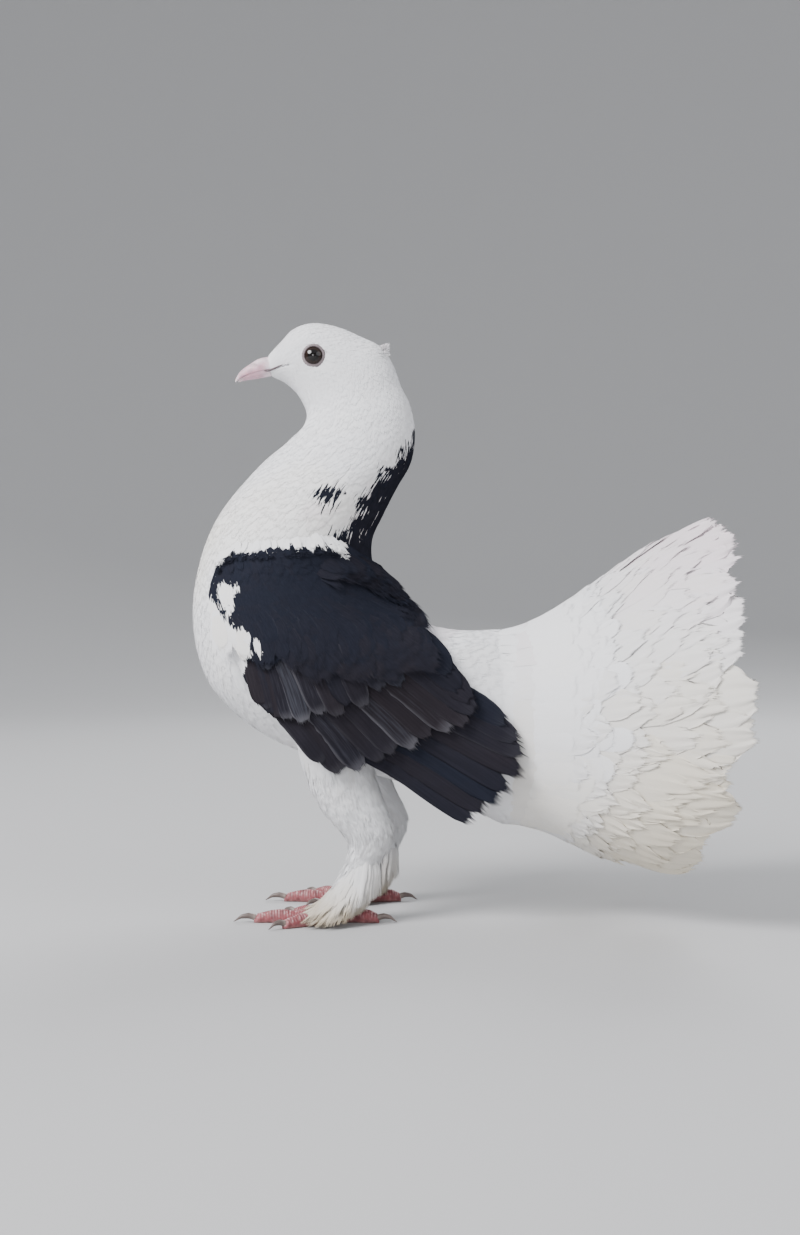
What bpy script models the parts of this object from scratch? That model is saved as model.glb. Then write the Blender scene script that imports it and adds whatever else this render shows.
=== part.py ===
"""Fantail pigeon, saddle marked, standing: a life-size still model.

Lengths are in millimetres and are turned into metres when a mesh is made.
The bird faces -X, its left side faces -Y, and +Z is up. The origin lies on the floor,
below the middle of the bird's bounding box.
"""

import math
import random

import bmesh
import bpy
from mathutils import Vector

MM = 0.001
SEED = 7
LEFT = -1
RIGHT = 1
SIDE_NAMES = {LEFT: "left", RIGHT: "right"}

# The bird's own measures count x from a plane this far behind the middle of its box
MIDDLE_X = 2.5

# Clearance between two nodes that touch, and round the body where a leg is cut to it
GAP = 0.3
BODY_CLEARANCE = 0.55

# Body in side view, from the bill's root to the tail's root
# Each row: throat or belly x and z, crown or back x and z, half the width between them
BODY_STATIONS = [
    (-77.6, 230.0, -79.0, 239.1, 4.8),
    (-72.9, 227.9, -73.7, 244.7, 8.2),
    (-69.0, 224.9, -68.1, 250.3, 10.2),
    (-66.0, 221.5, -59.5, 252.8, 11.5),
    (-63.8, 217.6, -49.2, 251.1, 12.2),
    (-62.5, 213.7, -38.9, 246.8, 12.6),
    (-63.0, 210.7, -30.7, 242.5, 12.9),
    (-64.7, 207.3, -25.6, 235.2, 13.5),
    (-68.6, 203.8, -22.1, 225.8, 14.9),
    (-73.3, 199.5, -18.2, 217.6, 17.3),
    (-80.6, 193.5, -16.1, 206.0, 21.0),
    (-88.3, 185.3, -17.8, 193.1, 26.0),
    (-96.5, 175.4, -23.8, 182.3, 31.5),
    (-103.4, 163.8, -29.9, 170.3, 36.5),
    (-108.5, 148.8, -34.6, 159.5, 40.5),
    (-111.1, 131.6, -33.7, 147.9, 43.3),
    (-109.8, 114.4, -27.7, 138.9, 44.8),
    (-104.2, 98.5, -20.4, 130.3, 45.0),
    (-93.5, 86.0, -11.8, 124.3, 44.0),
    (-79.3, 75.7, -2.0, 121.5, 42.0),
    (-63.4, 68.4, 7.0, 120.8, 39.0),
    (-42.0, 61.5, 14.0, 121.0, 35.5),
    (-12.0, 52.5, 19.0, 121.3, 32.0),
    (22.0, 38.0, 22.0, 121.0, 30.0),
]
BODY_END = len(BODY_STATIONS) - 1
RING_SIDES = 24
# Name, first place, last place and number of steps of each length of the body
BODY_LENGTHS = [
    ("head", 0.0, 7.6, 13),
    ("neck", 7.6, 12.3, 6),
    ("torso", 12.3, 20.4, 9),
    ("rump", 20.4, BODY_END, 4),
]

# Bill: rows of edge x, ridge z, edge z and half width, from the root to the tip
BILL_ROOT_X = -79.1
UPPER_BILL = [
    (0.0, 238.5, 232.9, 4.3),
    (3.4, 237.8, 232.3, 3.8),
    (6.4, 236.2, 231.5, 3.0),
    (10.0, 233.9, 230.4, 2.2),
    (12.6, 231.5, 228.9, 1.3),
    (14.2, 228.6, 227.6, 0.5),
]
LOWER_BILL = [
    (0.0, 232.5, 230.2, 3.8),
    (4.0, 231.6, 229.3, 3.0),
    (8.0, 230.4, 228.6, 1.9),
    (11.0, 229.3, 228.0, 1.1),
    (12.6, 228.3, 227.7, 0.5),
]
BILL_ARC_STEPS = 8
CERE_CENTRE = (-82.9, 2.1, 236.1)
CERE_RADII = (2.9, 1.7, 1.5)
NOSTRIL_CENTRE = (-85.0, 3.1, 234.9)
NOSTRIL_RADII = (1.3, 0.9, 0.4)

# Mouth corner: a groove on each cheek, in plan from the bill's root backwards
MOUTH_FRONT = (-79.6, 232.6)
MOUTH_BACK = (-70.3, 234.8)
MOUTH_FRONT_Y = 3.6
MOUTH_BACK_Y = 8.8
MOUTH_HEIGHT = 0.6
MOUTH_BEYOND_Y = 16.0

# Eyes
EYE_CENTRE = (-59.1, 7.7, 237.2)
EYE_RADIUS = 5.5
EYE_STEPS = (8, 14)
LID_PLANE_Y = 11.5
LID_RING_RADIUS = 4.5
LID_ROLL_RADIUS = 0.85
LID_SIDES = 14
LID_ROLL_SIDES = 4

# Crest: pointed locks at the nape that meet in a low peak
CREST_LOCKS_EACH_SIDE = 3
CREST_ROOT = (-36.0, 242.4)
CREST_TIP = (-27.4, 244.6)
CREST_SPACING = 2.4
CREST_LOCK_WIDTH = 4.2
# Along a lock: share of its length, share of its width, thickness and lift
CREST_LOCK_SHAPE = [(0.0, 0.8, 1.1, -1.4), (0.4, 1.0, 1.1, -0.35), (0.78, 0.62, 0.8, 0.05), (1.0, 0.12, 0.4, 0.25)]
CREST_TIP_SPACING = 0.75
# Each lock further out starts further back and lower, and ends lower
CREST_ROOT_STEP = (0.5, -0.16)
CREST_TIP_STEP = (0.35, -0.95)

# Tail: a funnel of feathers that opens backwards from a ring at the rump to a wide rim
TAIL_ROOT_X = BODY_STATIONS[-1][0] + GAP
TAIL_ROOT_Z = (BODY_STATIONS[-1][1] + BODY_STATIONS[-1][3]) / 2
TAIL_ROOT_HALF_HEIGHT = (BODY_STATIONS[-1][3] - BODY_STATIONS[-1][1]) / 2
TAIL_ROOT_HALF_WIDTH = BODY_STATIONS[-1][4]
TAIL_RIM_X = 112.0
TAIL_RIM_SIDE_EXTRA = 4.0
TAIL_RIM_Z = 88.0
TAIL_RIM_RADIUS = 79.0
TAIL_RIM_DOWN = 73.0
TAIL_STEEPEST = math.radians(38.0)
TAIL_LOWEST_TURN = math.radians(150.0)
TAIL_LOWEST_SHORTER = 13.0
TAIL_SHORTER_FROM = math.radians(100.0)
TAIL_LAST_FEATHER = 16
TAIL_PITCH = TAIL_LOWEST_TURN / TAIL_LAST_FEATHER
TAIL_CENTRE_EACH_SIDE = 5
# Place from the root ring to the rim, height over the funnel and half width of a tail feather
TAIL_FEATHER = [(0.08, -1.2, 1.8), (0.25, 0.0, 3.0), (0.66, 0.0, 12.2)]
TAIL_FEATHER_END = [(-0.08, 0.0, 14.6), (0.0, 0.0, 7.0)]
TAIL_STACK = 1.15
TAIL_THICK = (0.7, 0.5)
TAIL_PLACE_SPREAD = 0.015

# Core of the tail's root: place and height of its rings, then its hollowed back
TAIL_CORE = [(0.0, 0.0), (0.08, 1.3), (0.17, 1.5), (0.235, 0.5)]
TAIL_CORE_BACK_X = 38.0
TAIL_CORE_BACK_SHARE = 0.6
TAIL_CORE_HUB_X = 35.0
TAIL_CORE_SIDES = 36
TAIL_CORE_CUT = math.radians(43.7)
TAIL_CORE_CUT_Z = 80.5

# Tail coverts, the lowest ones longer
TAIL_COVERT_PITCH = 2 * TAIL_PITCH
TAIL_COVERTS_CENTRE = 2
TAIL_LAST_COVERT = 9
TAIL_COVERT = [(0.08, 0.3, 1.7), (0.26, 2.6, 4.0)]
TAIL_COVERT_END = [(-0.09, 2.6, 8.6), (0.0, 2.5, 3.8)]
TAIL_COVERT_LENGTH = 0.56
TAIL_COVERT_LENGTH_LOWEST = 0.72
TAIL_COVERT_WIDER_LOWEST = 1.4
TAIL_COVERT_LONGER_FROM = math.radians(100.0)
TAIL_COVERT_STACK = 1.0
TAIL_COVERT_THICK = (0.6, 0.5)

# Wings: the sheet that the quills lie in stands off the body by this much
WING_STAND_OFF = 1.9
WING_REAR_LIFT = 2.4
WING_REAR_FROM = 21.3
WING_FLAT_FROM = 16.5
WING_FLAT_TO = 20.0
WING_INNER = -1.2
WING_OUTER = 1.0
WING_RIM = 0.35
# Outline of the wing's fleshy plate in side view: top, rear, bottom and front edges as x and z
WING_TOP_EDGE = [(-92.5, 150.5), (-70.0, 153.5), (-50.0, 151.0), (-36.0, 143.5)]
WING_REAR_EDGE = [(-36.0, 143.5), (-25.0, 124.0), (-20.0, 108.0), (-24.0, 92.0)]
WING_BOTTOM_EDGE = [(-85.0, 100.0), (-74.0, 89.0), (-58.0, 82.0), (-24.0, 92.0)]
WING_FRONT_EDGE = [(-92.5, 150.5), (-97.5, 139.0), (-93.0, 120.0), (-85.0, 100.0)]
WING_PLATE_STEPS = (7, 5)

# Rows of wing feathers: root x and z, then tip x and z, lowest feather first
PRIMARIES = [
    (-62.0, 84.5, 7.0, 42.5),
    (-58.0, 88.5, 14.0, 46.5),
    (-54.0, 92.5, 20.0, 52.0),
    (-50.0, 96.5, 25.5, 58.5),
    (-46.0, 100.5, 28.5, 66.5),
    (-41.0, 104.5, 27.0, 75.0),
    (-36.0, 108.0, 21.5, 82.5),
]
SECONDARIES = [
    (-76.5, 96.5, -52.0, 67.5),
    (-72.5, 99.5, -42.5, 64.0),
    (-67.0, 103.0, -33.0, 67.0),
    (-61.5, 106.5, -24.0, 71.0),
    (-56.0, 110.0, -15.0, 74.5),
    (-50.5, 113.5, -6.0, 78.0),
    (-45.5, 117.0, 3.5, 82.0),
    (-42.0, 120.5, 9.0, 86.5),
    (-39.5, 124.5, 6.0, 93.5),
    (-38.0, 129.0, -0.5, 101.0),
    (-38.0, 134.5, -10.0, 109.0),
]
GREATER_COVERTS = [
    (-84.5, 117.5, -75.5, 93.0),
    (-80.5, 119.0, -70.5, 87.0),
    (-77.0, 121.5, -64.0, 86.0),
    (-68.5, 124.5, -51.0, 87.5),
    (-60.0, 127.5, -37.5, 91.5),
    (-52.0, 131.0, -24.0, 99.0),
    (-44.0, 135.5, -13.0, 108.0),
]
MEDIAN_COVERTS = [
    (-89.0, 137.0, -82.0, 111.0),
    (-84.5, 138.5, -76.0, 107.5),
    (-77.5, 140.0, -65.0, 108.0),
    (-68.0, 142.0, -52.0, 110.5),
    (-58.5, 144.0, -39.0, 114.5),
    (-49.0, 145.5, -27.0, 119.5),
]
FEATHER_ROWS = [
    # Row, half width, heights at the root, further out, where the tip begins and at the tip
    ("primary", PRIMARIES, 5.6, (0.0, 0.0, 0.0, 0.0)),
    ("secondary", SECONDARIES, 5.6, (0.0, 2.6, 2.9, 2.7)),
    ("greater", GREATER_COVERTS, 5.9, (0.0, 3.0, 4.0, 4.0)),
    ("median", MEDIAN_COVERTS, 6.0, (0.0, 2.9, 3.9, 4.0)),
]
FEATHER_WIDTH_SHARES = (0.3, 0.9, 1.0, 0.42)
FEATHER_TIP = 5.5
WING_FEATHER_THICK = 0.55
WING_STACK = 0.9
WING_LEAST_PITCH = 3.0
WING_MOST_STACK = 1.4

# Legs: each row is height, front x, back x, distance from the middle, half width
LEG_STATIONS = [
    (86.0, -70.0, -30.0, 20.0, 14.5),
    (72.0, -66.5, -33.0, 20.5, 13.6),
    (62.0, -62.5, -33.0, 21.0, 12.8),
    (54.0, -59.5, -30.5, 22.0, 11.8),
    (46.0, -54.8, -28.2, 23.0, 10.6),
    (39.0, -48.6, -26.4, 23.5, 9.4),
    (32.5, -43.8, -27.4, 23.5, 7.8),
    (26.0, -44.8, -31.0, 23.5, 6.8),
    (19.0, -48.0, -35.0, 23.5, 6.4),
    (12.0, -52.0, -38.0, 23.5, 6.8),
    (6.3, -55.0, -41.0, 23.5, 6.8),
]
LEG_SIDES = 14
THIGH_ROWS = (0, 6)
SHANK_ROWS = (6, 10)
RIGHT_FOOT_BACK = 9.0
RIGHT_HIP_BACK = 3.0
HIP_HEIGHT = 80.0

# Leg feathers: on the thigh's back and round the shank down to the foot
SHANK_FEATHERS = 8
THIGH_FEATHERS = 5
THIGH_FEATHER_TURNS = (-70.0, 80.0)
THIGH_FEATHER_DROP = 3.0
LEG_FEATHER_WIDTH = 4.2
LEG_FEATHER_SHARES = (0.7, 1.0, 0.9, 0.3)
THIGH_FEATHER_THICK = (0.9, 0.5)
SHANK_FEATHER_THICK = (0.7, 0.5)
# Paths of leg feathers: place along the leg, distance out, height
THIGH_FEATHER = [(3.2, -4.0, 58.0), (4.2, 0.9, 47.0), (5.0, 1.9, 41.0), (5.6, 2.4, 36.5)]
SHANK_FEATHER = [(7.6, -3.2, 22.0), (8.6, 1.3, 16.0), (9.6, 3.4, 8.0), (10.0, 6.6, 1.6)]
SHANK_FEATHER_OVER_TOES = [(7.6, -3.2, 22.0), (8.6, 1.3, 16.0), (9.6, 2.6, 11.5), (10.0, 6.0, 8.6)]

# Feet: heading in degrees from straight ahead, outwards positive, length and claw length
FOOT_CENTRE_X = -48.0
FOOT_TOP_Z = 6.0
FOOT_SINK = 0.4
# The ball of the foot: height of each ring and its size beside the lowest ring of the leg
FOOT_PAD = [(-1.0, 0.82), (2.0, 0.95), (FOOT_TOP_Z, 0.85)]
TOES = [
    ("middle", 3.0, 35.0, 8.5),
    ("outer", 36.0, 27.0, 7.0),
    ("inner", -33.0, 23.0, 7.0),
    ("hind", 172.0, 17.0, 7.5),
]
TOE_SIDES = 8
TOE_RADII = (3.0, 3.0, 2.5, 2.6, 2.2, 2.0)
TOE_PLACES = (0.0, 0.25, 0.45, 0.62, 0.85, 1.0)
CLAW_RADII = (1.35, 1.2, 0.85, 0.3)
CLAW_RISE = (0.0, 0.75, 0.35, -1.35)
CLAW_SIDES = 6
CLAW_LIFT = 0.5


def mix(a, b, t):
    return a + (b - a) * t


def smooth(t):
    """A step from 0 to 1 with level ends."""
    t = min(max(t, 0.0), 1.0)
    return t * t * (3.0 - 2.0 * t)


def curve_value(rows, place):
    """The row of numbers at a place along the rows, on a smooth curve through them."""
    last = len(rows) - 1
    place = min(max(place, 0.0), float(last))
    i = min(int(place), last - 1)
    t = place - i
    before = rows[max(i - 1, 0)]
    after = rows[min(i + 2, last)]
    result = []
    for p0, p1, p2, p3 in zip(before, rows[i], rows[i + 1], after):
        slope_1 = (p2 - p0) / 2
        slope_2 = (p3 - p1) / 2
        cubic = 2 * p1 - 2 * p2 + slope_1 + slope_2
        square = 3 * (p2 - p1) - 2 * slope_1 - slope_2
        result.append(((cubic * t + square) * t + slope_1) * t + p1)
    return result


def finish(name, colour, roughness):
    """A plain material with one colour and roughness."""
    made = bpy.data.materials.new(name)
    made.use_nodes = True
    shader = made.node_tree.nodes["Principled BSDF"]
    shader.inputs["Base Color"].default_value = (*colour, 1.0)
    shader.inputs["Roughness"].default_value = roughness
    shader.inputs["Metallic"].default_value = 0.0
    made.diffuse_color = (*colour, 1.0)
    return made


def solid(name, points, faces, material, smooth_shaded=True):
    """An object from points in millimetres and faces, with the faces turned outwards."""
    mesh = bpy.data.meshes.new(name)
    moved = Vector((-MIDDLE_X, 0.0, 0.0))
    mesh.from_pydata([(Vector(point) + moved) * MM for point in points], [], faces)
    shape = bmesh.new()
    shape.from_mesh(mesh)
    bmesh.ops.recalc_face_normals(shape, faces=shape.faces)
    shape.to_mesh(mesh)
    shape.free()
    mesh.materials.append(material)
    if smooth_shaded:
        mesh.shade_smooth()
        mesh.set_sharp_from_angle(angle=math.radians(40))
    made = bpy.data.objects.new(name, mesh)
    bpy.context.scene.collection.objects.link(made)
    return made


def tube(rings):
    """Points and faces of a closed tube through rings of equal count, with flat ends."""
    sides = len(rings[0])
    points = [point for ring in rings for point in ring]
    faces = []
    for k in range(len(rings) - 1):
        for j in range(sides):
            a = k * sides + j
            b = k * sides + (j + 1) % sides
            faces.append((a, b, b + sides, a + sides))
    faces.append(tuple(reversed(range(sides))))
    faces.append(tuple(range((len(rings) - 1) * sides, len(rings) * sides)))
    return points, faces


def blade(outer, inner):
    """Points and faces of a thin closed blade, split alike on both faces.

    outer and inner are lists of rows of points from the root to the tip.
    """
    rows = len(outer)
    columns = len(outer[0])
    points = [point for row in outer for point in row]
    points += [point for row in inner for point in row]
    under = rows * columns
    faces = []
    for v in range(rows - 1):
        for k in range(columns - 1):
            a = v * columns + k
            b = a + 1
            c = b + columns
            d = a + columns
            faces += [(a, b, c), (a, c, d)]
            faces += [(under + a, under + c, under + b), (under + a, under + d, under + c)]
        for edge in (0, columns - 1):
            a = v * columns + edge
            d = a + columns
            faces += [(a, d, under + d), (a, under + d, under + a)]
    for first in (0, (rows - 1) * columns):
        for k in range(columns - 1):
            a = first + k
            faces += [(a, under + a, under + a + 1), (a, under + a + 1, a + 1)]
    return points, faces


def ball(name, centre, radii, material, rings=8, sides=14):
    """A ball or egg shape whose poles lie along Y."""
    points = []
    faces = []
    for k in range(1, rings):
        polar = math.pi * k / rings
        for j in range(sides):
            turn = 2 * math.pi * j / sides
            points.append(
                (
                    centre[0] + radii[0] * math.sin(polar) * math.cos(turn),
                    centre[1] - radii[1] * math.cos(polar),
                    centre[2] + radii[2] * math.sin(polar) * math.sin(turn),
                )
            )
    first = len(points)
    points.append((centre[0], centre[1] - radii[1], centre[2]))
    points.append((centre[0], centre[1] + radii[1], centre[2]))
    for j in range(sides):
        after = (j + 1) % sides
        faces.append((first, after, j))
        for k in range(rings - 2):
            a = k * sides + j
            b = k * sides + after
            faces.append((a, b, b + sides, a + sides))
        faces.append((first + 1, (rings - 2) * sides + j, (rings - 2) * sides + after))
    return solid(name, points, faces, material)


def applied(target):
    """Replaces the object's mesh with the result of its modifiers."""
    bpy.context.view_layer.update()
    graph = bpy.context.evaluated_depsgraph_get()
    result = bpy.data.meshes.new_from_object(target.evaluated_get(graph))
    old = target.data
    target.modifiers.clear()
    target.data = result
    bpy.data.meshes.remove(old)


def keep_largest(target):
    """Keeps only the largest closed surface of the object."""
    shape = bmesh.new()
    shape.from_mesh(target.data)
    bmesh.ops.triangulate(shape, faces=shape.faces)
    shape.faces.ensure_lookup_table()
    left = set(range(len(shape.faces)))
    surfaces = []
    while left:
        front = [left.pop()]
        found = list(front)
        while front:
            face = shape.faces[front.pop()]
            for edge in face.edges:
                for other in edge.link_faces:
                    if other.index in left:
                        left.remove(other.index)
                        front.append(other.index)
                        found.append(other.index)
        volume = 0.0
        for index in found:
            a, b, c = (corner.co for corner in shape.faces[index].verts)
            volume += a.dot(b.cross(c))
        surfaces.append((abs(volume), found))
    surfaces.sort(key=lambda surface: surface[0])
    scraps = [shape.faces[index] for _, found in surfaces[:-1] for index in found]
    bmesh.ops.delete(shape, geom=scraps, context="FACES")
    shape.to_mesh(target.data)
    shape.free()


def combine(target, others, operation, solver="EXACT"):
    """Joins the other closed objects to the target, or cuts them from it, and removes them."""
    pieces = bpy.data.collections.new(target.name + " pieces")
    bpy.context.scene.collection.children.link(pieces)
    for other in others:
        bpy.context.scene.collection.objects.unlink(other)
        pieces.objects.link(other)
        other.hide_render = True
        other.display_type = "WIRE"
    modifier = target.modifiers.new(operation.lower(), "BOOLEAN")
    modifier.operation = operation
    modifier.operand_type = "COLLECTION"
    modifier.collection = pieces
    modifier.solver = solver
    applied(target)
    for other in others:
        bpy.data.objects.remove(other)
    bpy.data.collections.remove(pieces)
    keep_largest(target)
    target.data.shade_smooth()
    target.data.set_sharp_from_angle(angle=math.radians(40))


def body_frame(place, grow=0.0):
    """Middle, direction to the back, half depth and half width of the body at a place."""
    front_x, front_z, back_x, back_z, half_width = curve_value(BODY_STATIONS, place)
    middle = Vector(((front_x + back_x) / 2, 0.0, (front_z + back_z) / 2))
    across = Vector((back_x - front_x, 0.0, back_z - front_z))
    half_depth = across.length / 2
    across.normalize()
    return middle, across, half_depth + grow, half_width + grow


def body_ring(place, shift=0.0, grow=0.0):
    """A ring of points round the body, moved along it by a shift."""
    middle, across, half_depth, half_width = body_frame(place, grow)
    along = across.cross(Vector((0.0, -1.0, 0.0)))
    ring = []
    for j in range(RING_SIDES):
        turn = 2 * math.pi * j / RING_SIDES
        side = Vector((0.0, half_width * math.sin(turn), 0.0))
        ring.append(middle + along * shift + across * (half_depth * math.cos(turn)) + side)
    return ring


def body_length(name, first, last, steps, material, grow=0.0):
    """One length of the body, which starts a gap behind the length before it."""
    shift = GAP if first > 0 and grow == 0.0 else 0.0
    rings = [body_ring(first, shift, grow)]
    for k in range(1, steps + 1):
        rings.append(body_ring(mix(first, last, k / steps), 0.0, grow))
    return solid(name, *tube(rings), material)


def flank(x, z):
    """Place along the body and share of its half depth at a point in side view."""
    fine = 6
    earlier = None
    for k in range(10 * fine, BODY_END * fine + 1):
        place = k / fine
        front_x, front_z, back_x, back_z, _ = curve_value(BODY_STATIONS, place)
        deep_x = back_x - front_x
        deep_z = back_z - front_z
        side = deep_x * (z - front_z) - deep_z * (x - front_x)
        if earlier is not None and side >= 0.0:
            place -= side / (side - earlier) / fine
            break
        earlier = side
    middle, across, half_depth, _ = body_frame(place)
    share = (Vector((x, 0.0, z)) - middle).dot(across) / half_depth
    return place, share


def wing_sheet(x, z):
    """Distance from the middle plane of the sheet that the wing's quills lie in."""
    place, share = flank(x, z)
    rear = smooth((place - WING_REAR_FROM) / (BODY_END - WING_REAR_FROM))
    reach = body_frame(place)[3] + WING_STAND_OFF + WING_REAR_LIFT * rear
    rounded = math.sqrt(max(1.0 - (share / 1.05) ** 2, 0.03))
    if share > 0.0:
        return reach * rounded
    flat = 1.0 - 0.06 * share * share
    return reach * mix(rounded, flat, smooth((place - WING_FLAT_FROM) / (WING_FLAT_TO - WING_FLAT_FROM)))


def wing_point(x, z, height):
    """A point at a height over the wing sheet of the left side."""
    step = 1.0
    depth = wing_sheet(x, z)
    slope_x = (wing_sheet(x + step, z) - wing_sheet(x - step, z)) / (2 * step)
    slope_z = (wing_sheet(x, z + step) - wing_sheet(x, z - step)) / (2 * step)
    outward = Vector((-slope_x, -1.0, -slope_z))
    outward.normalize()
    return Vector((x, -depth, z)) + outward * height


def to_side(points, side):
    """The points of the left side, turned over for the right side."""
    if side == LEFT:
        return points
    return [Vector((point[0], -point[1], point[2])) for point in points]


def wing_feather(name, row, index, half_width, heights, side, material):
    """One vane from its root inside the wing's plate to its tip."""
    root_x, root_z, tip_x, tip_z = row[index]
    lower = row[max(index - 1, 0)]
    upper = row[min(index + 1, len(row) - 1)]
    steps = min(index + 1, len(row) - 1) - max(index - 1, 0)
    course = Vector((tip_x - root_x, tip_z - root_z))
    places = (0.0, 0.4, 1.0 - FEATHER_TIP / course.length, 1.0)
    course.normalize()
    down = Vector((course.y, -course.x))
    root_pitch = abs(Vector((upper[0] - lower[0], upper[1] - lower[1])).dot(down)) / steps
    tip_pitch = abs(Vector((upper[2] - lower[2], upper[3] - lower[3])).dot(down)) / steps
    outer = []
    inner = []
    for place, share, height in zip(places, FEATHER_WIDTH_SHARES, heights):
        centre = Vector((mix(root_x, tip_x, place), mix(root_z, tip_z, place)))
        pitch = max(mix(root_pitch, tip_pitch, place), WING_LEAST_PITCH)
        outer_row = []
        inner_row = []
        for column in (-1, 1):
            across = column * half_width * share
            spot = centre + down * across
            lift = height + WING_STACK * max(min(across / pitch, WING_MOST_STACK), -WING_MOST_STACK)
            outer_row.append(wing_point(spot.x, spot.y, lift + WING_FEATHER_THICK / 2))
            inner_row.append(wing_point(spot.x, spot.y, lift - WING_FEATHER_THICK / 2))
        outer.append(outer_row)
        inner.append(inner_row)
    points, faces = blade(outer, inner)
    return solid(name, to_side(points, side), faces, material)


def wing_plate(name, side, material):
    """The fleshy plate of the wing, between four curved edges in side view."""
    along_steps, down_steps = WING_PLATE_STEPS
    outer = []
    inner = []
    corners = [WING_TOP_EDGE[0], WING_TOP_EDGE[-1], WING_BOTTOM_EDGE[0], WING_BOTTOM_EDGE[-1]]
    for j in range(down_steps + 1):
        q = j / down_steps
        outer_row = []
        inner_row = []
        for i in range(along_steps + 1):
            p = i / along_steps
            top = curve_value(WING_TOP_EDGE, p * (len(WING_TOP_EDGE) - 1))
            bottom = curve_value(WING_BOTTOM_EDGE, p * (len(WING_BOTTOM_EDGE) - 1))
            front = curve_value(WING_FRONT_EDGE, q * (len(WING_FRONT_EDGE) - 1))
            rear = curve_value(WING_REAR_EDGE, q * (len(WING_REAR_EDGE) - 1))
            spot = []
            for axis in (0, 1):
                ruled = mix(top[axis], bottom[axis], q) + mix(front[axis], rear[axis], p)
                flat = mix(
                    mix(corners[0][axis], corners[1][axis], p),
                    mix(corners[2][axis], corners[3][axis], p),
                    q,
                )
                spot.append(ruled - flat)
            swell = (16 * p * (1 - p) * q * (1 - q)) ** 0.3
            outer_row.append(wing_point(*spot, mix(WING_RIM, WING_OUTER, swell)))
            inner_row.append(wing_point(*spot, mix(-WING_RIM, WING_INNER, swell)))
        outer.append(outer_row)
        inner.append(inner_row)
    points, faces = blade(outer, inner)
    return solid(name, to_side(points, side), faces, material)


def wing(side, material):
    """A whole wing: the plate and its rows of feathers."""
    name = "wing_" + SIDE_NAMES[side]
    plate = wing_plate(name, side, material)
    vanes = []
    for row_name, row, half_width, heights in FEATHER_ROWS:
        for index in range(len(row)):
            label = f"{name} {row_name} {index}"
            vanes.append(wing_feather(label, row, index, half_width, heights, side, material))
    combine(plate, vanes, "UNION")


def tail_ring(turn, place):
    """Height of the middle, half height and half width of the tail's funnel at a place."""
    grow = smooth(place)
    rim = TAIL_RIM_RADIUS if math.cos(turn) > 0.0 else TAIL_RIM_DOWN
    half_height = mix(TAIL_ROOT_HALF_HEIGHT, rim, grow)
    half_width = mix(TAIL_ROOT_HALF_WIDTH, TAIL_RIM_RADIUS, grow)
    return mix(TAIL_ROOT_Z, TAIL_RIM_Z, place), half_height, half_width


def tail_point(turn, place, height):
    """A point on the tail's funnel: turn from the top, place from root to rim, and height."""
    middle, half_height, half_width = tail_ring(turn, place)
    shorter = smooth((abs(turn) - TAIL_SHORTER_FROM) / (TAIL_LOWEST_TURN - TAIL_SHORTER_FROM))
    rim_x = TAIL_RIM_X + TAIL_RIM_SIDE_EXTRA * math.sin(turn) ** 2 - TAIL_LOWEST_SHORTER * shorter
    slope = TAIL_STEEPEST * max(4 * place * (1 - place), 0.0)
    lift = height * math.cos(slope)
    x = mix(TAIL_ROOT_X, rim_x, place) - height * math.sin(slope)
    y = -(half_width + lift) * math.sin(turn)
    return Vector((x, y, middle + (half_height + lift) * math.cos(turn)))


def tail_vane(name, index, pitch, stack, knots, thick, material):
    """One vane of the tail. Each lies over the next one out from the middle."""
    centre = index * pitch
    sign = -1 if index < 0 else 1
    outer = []
    inner = []
    for k, (place, height, half_vane) in enumerate(knots):
        _, half_height, half_width = tail_ring(centre, place)
        radius = (half_height + half_width) / 2
        deep = mix(*thick, k / (len(knots) - 1)) / 2
        clear = GAP / radius
        outer_row = []
        inner_row = []
        for column in (-1, 0, 1):
            turn = centre + column * half_vane / radius
            if index:
                turn = sign * min(max(turn * sign, clear), math.pi - clear)
            lift = height + stack * (abs(turn) - abs(centre)) / pitch
            outer_row.append(tail_point(turn, place, lift + deep))
            inner_row.append(tail_point(turn, place, lift - deep))
        outer.append(outer_row)
        inner.append(inner_row)
    points, faces = blade(outer, inner)
    return solid(name, points, faces, material)


def tail_core(name, first_turn, last_turn, material):
    """The part of the tail's root between two turns about the axis, cut clear of the others."""
    turns = [2 * math.pi * j / TAIL_CORE_SIDES for j in range(TAIL_CORE_SIDES)]
    rings = [[tail_point(turn, *knot) for turn in turns] for knot in TAIL_CORE]
    middle = tail_ring(0.0, TAIL_CORE[-1][0])[0]
    share = TAIL_CORE_BACK_SHARE
    back_ring = [(TAIL_CORE_BACK_X, p.y * share, mix(middle, p.z, share)) for p in rings[-1]]
    points, faces = tube(rings + [back_ring])
    back = faces.pop()
    points.append((TAIL_CORE_HUB_X, 0.0, middle))
    for a, b in zip(back, back[1:] + back[:1]):
        faces.append((a, b, len(points) - 1))
    core = solid(name, points, faces, material)
    shape = bmesh.new()
    shape.from_mesh(core.data)
    for turn, inward in ((first_turn, 1), (last_turn, -1)):
        normal = Vector((0.0, -math.cos(turn), -math.sin(turn))) * inward
        start = Vector((0.0, 0.0, TAIL_CORE_CUT_Z)) + normal * (GAP / 2)
        cut = bmesh.ops.bisect_plane(
            shape,
            geom=shape.verts[:] + shape.edges[:] + shape.faces[:],
            dist=1e-7,
            plane_co=start * MM,
            plane_no=-normal,
            clear_outer=True,
        )
        rim = [item for item in cut["geom_cut"] if isinstance(item, bmesh.types.BMEdge)]
        bmesh.ops.contextual_create(shape, geom=rim)
    bmesh.ops.recalc_face_normals(shape, faces=shape.faces)
    shape.to_mesh(core.data)
    shape.free()
    return core


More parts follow.
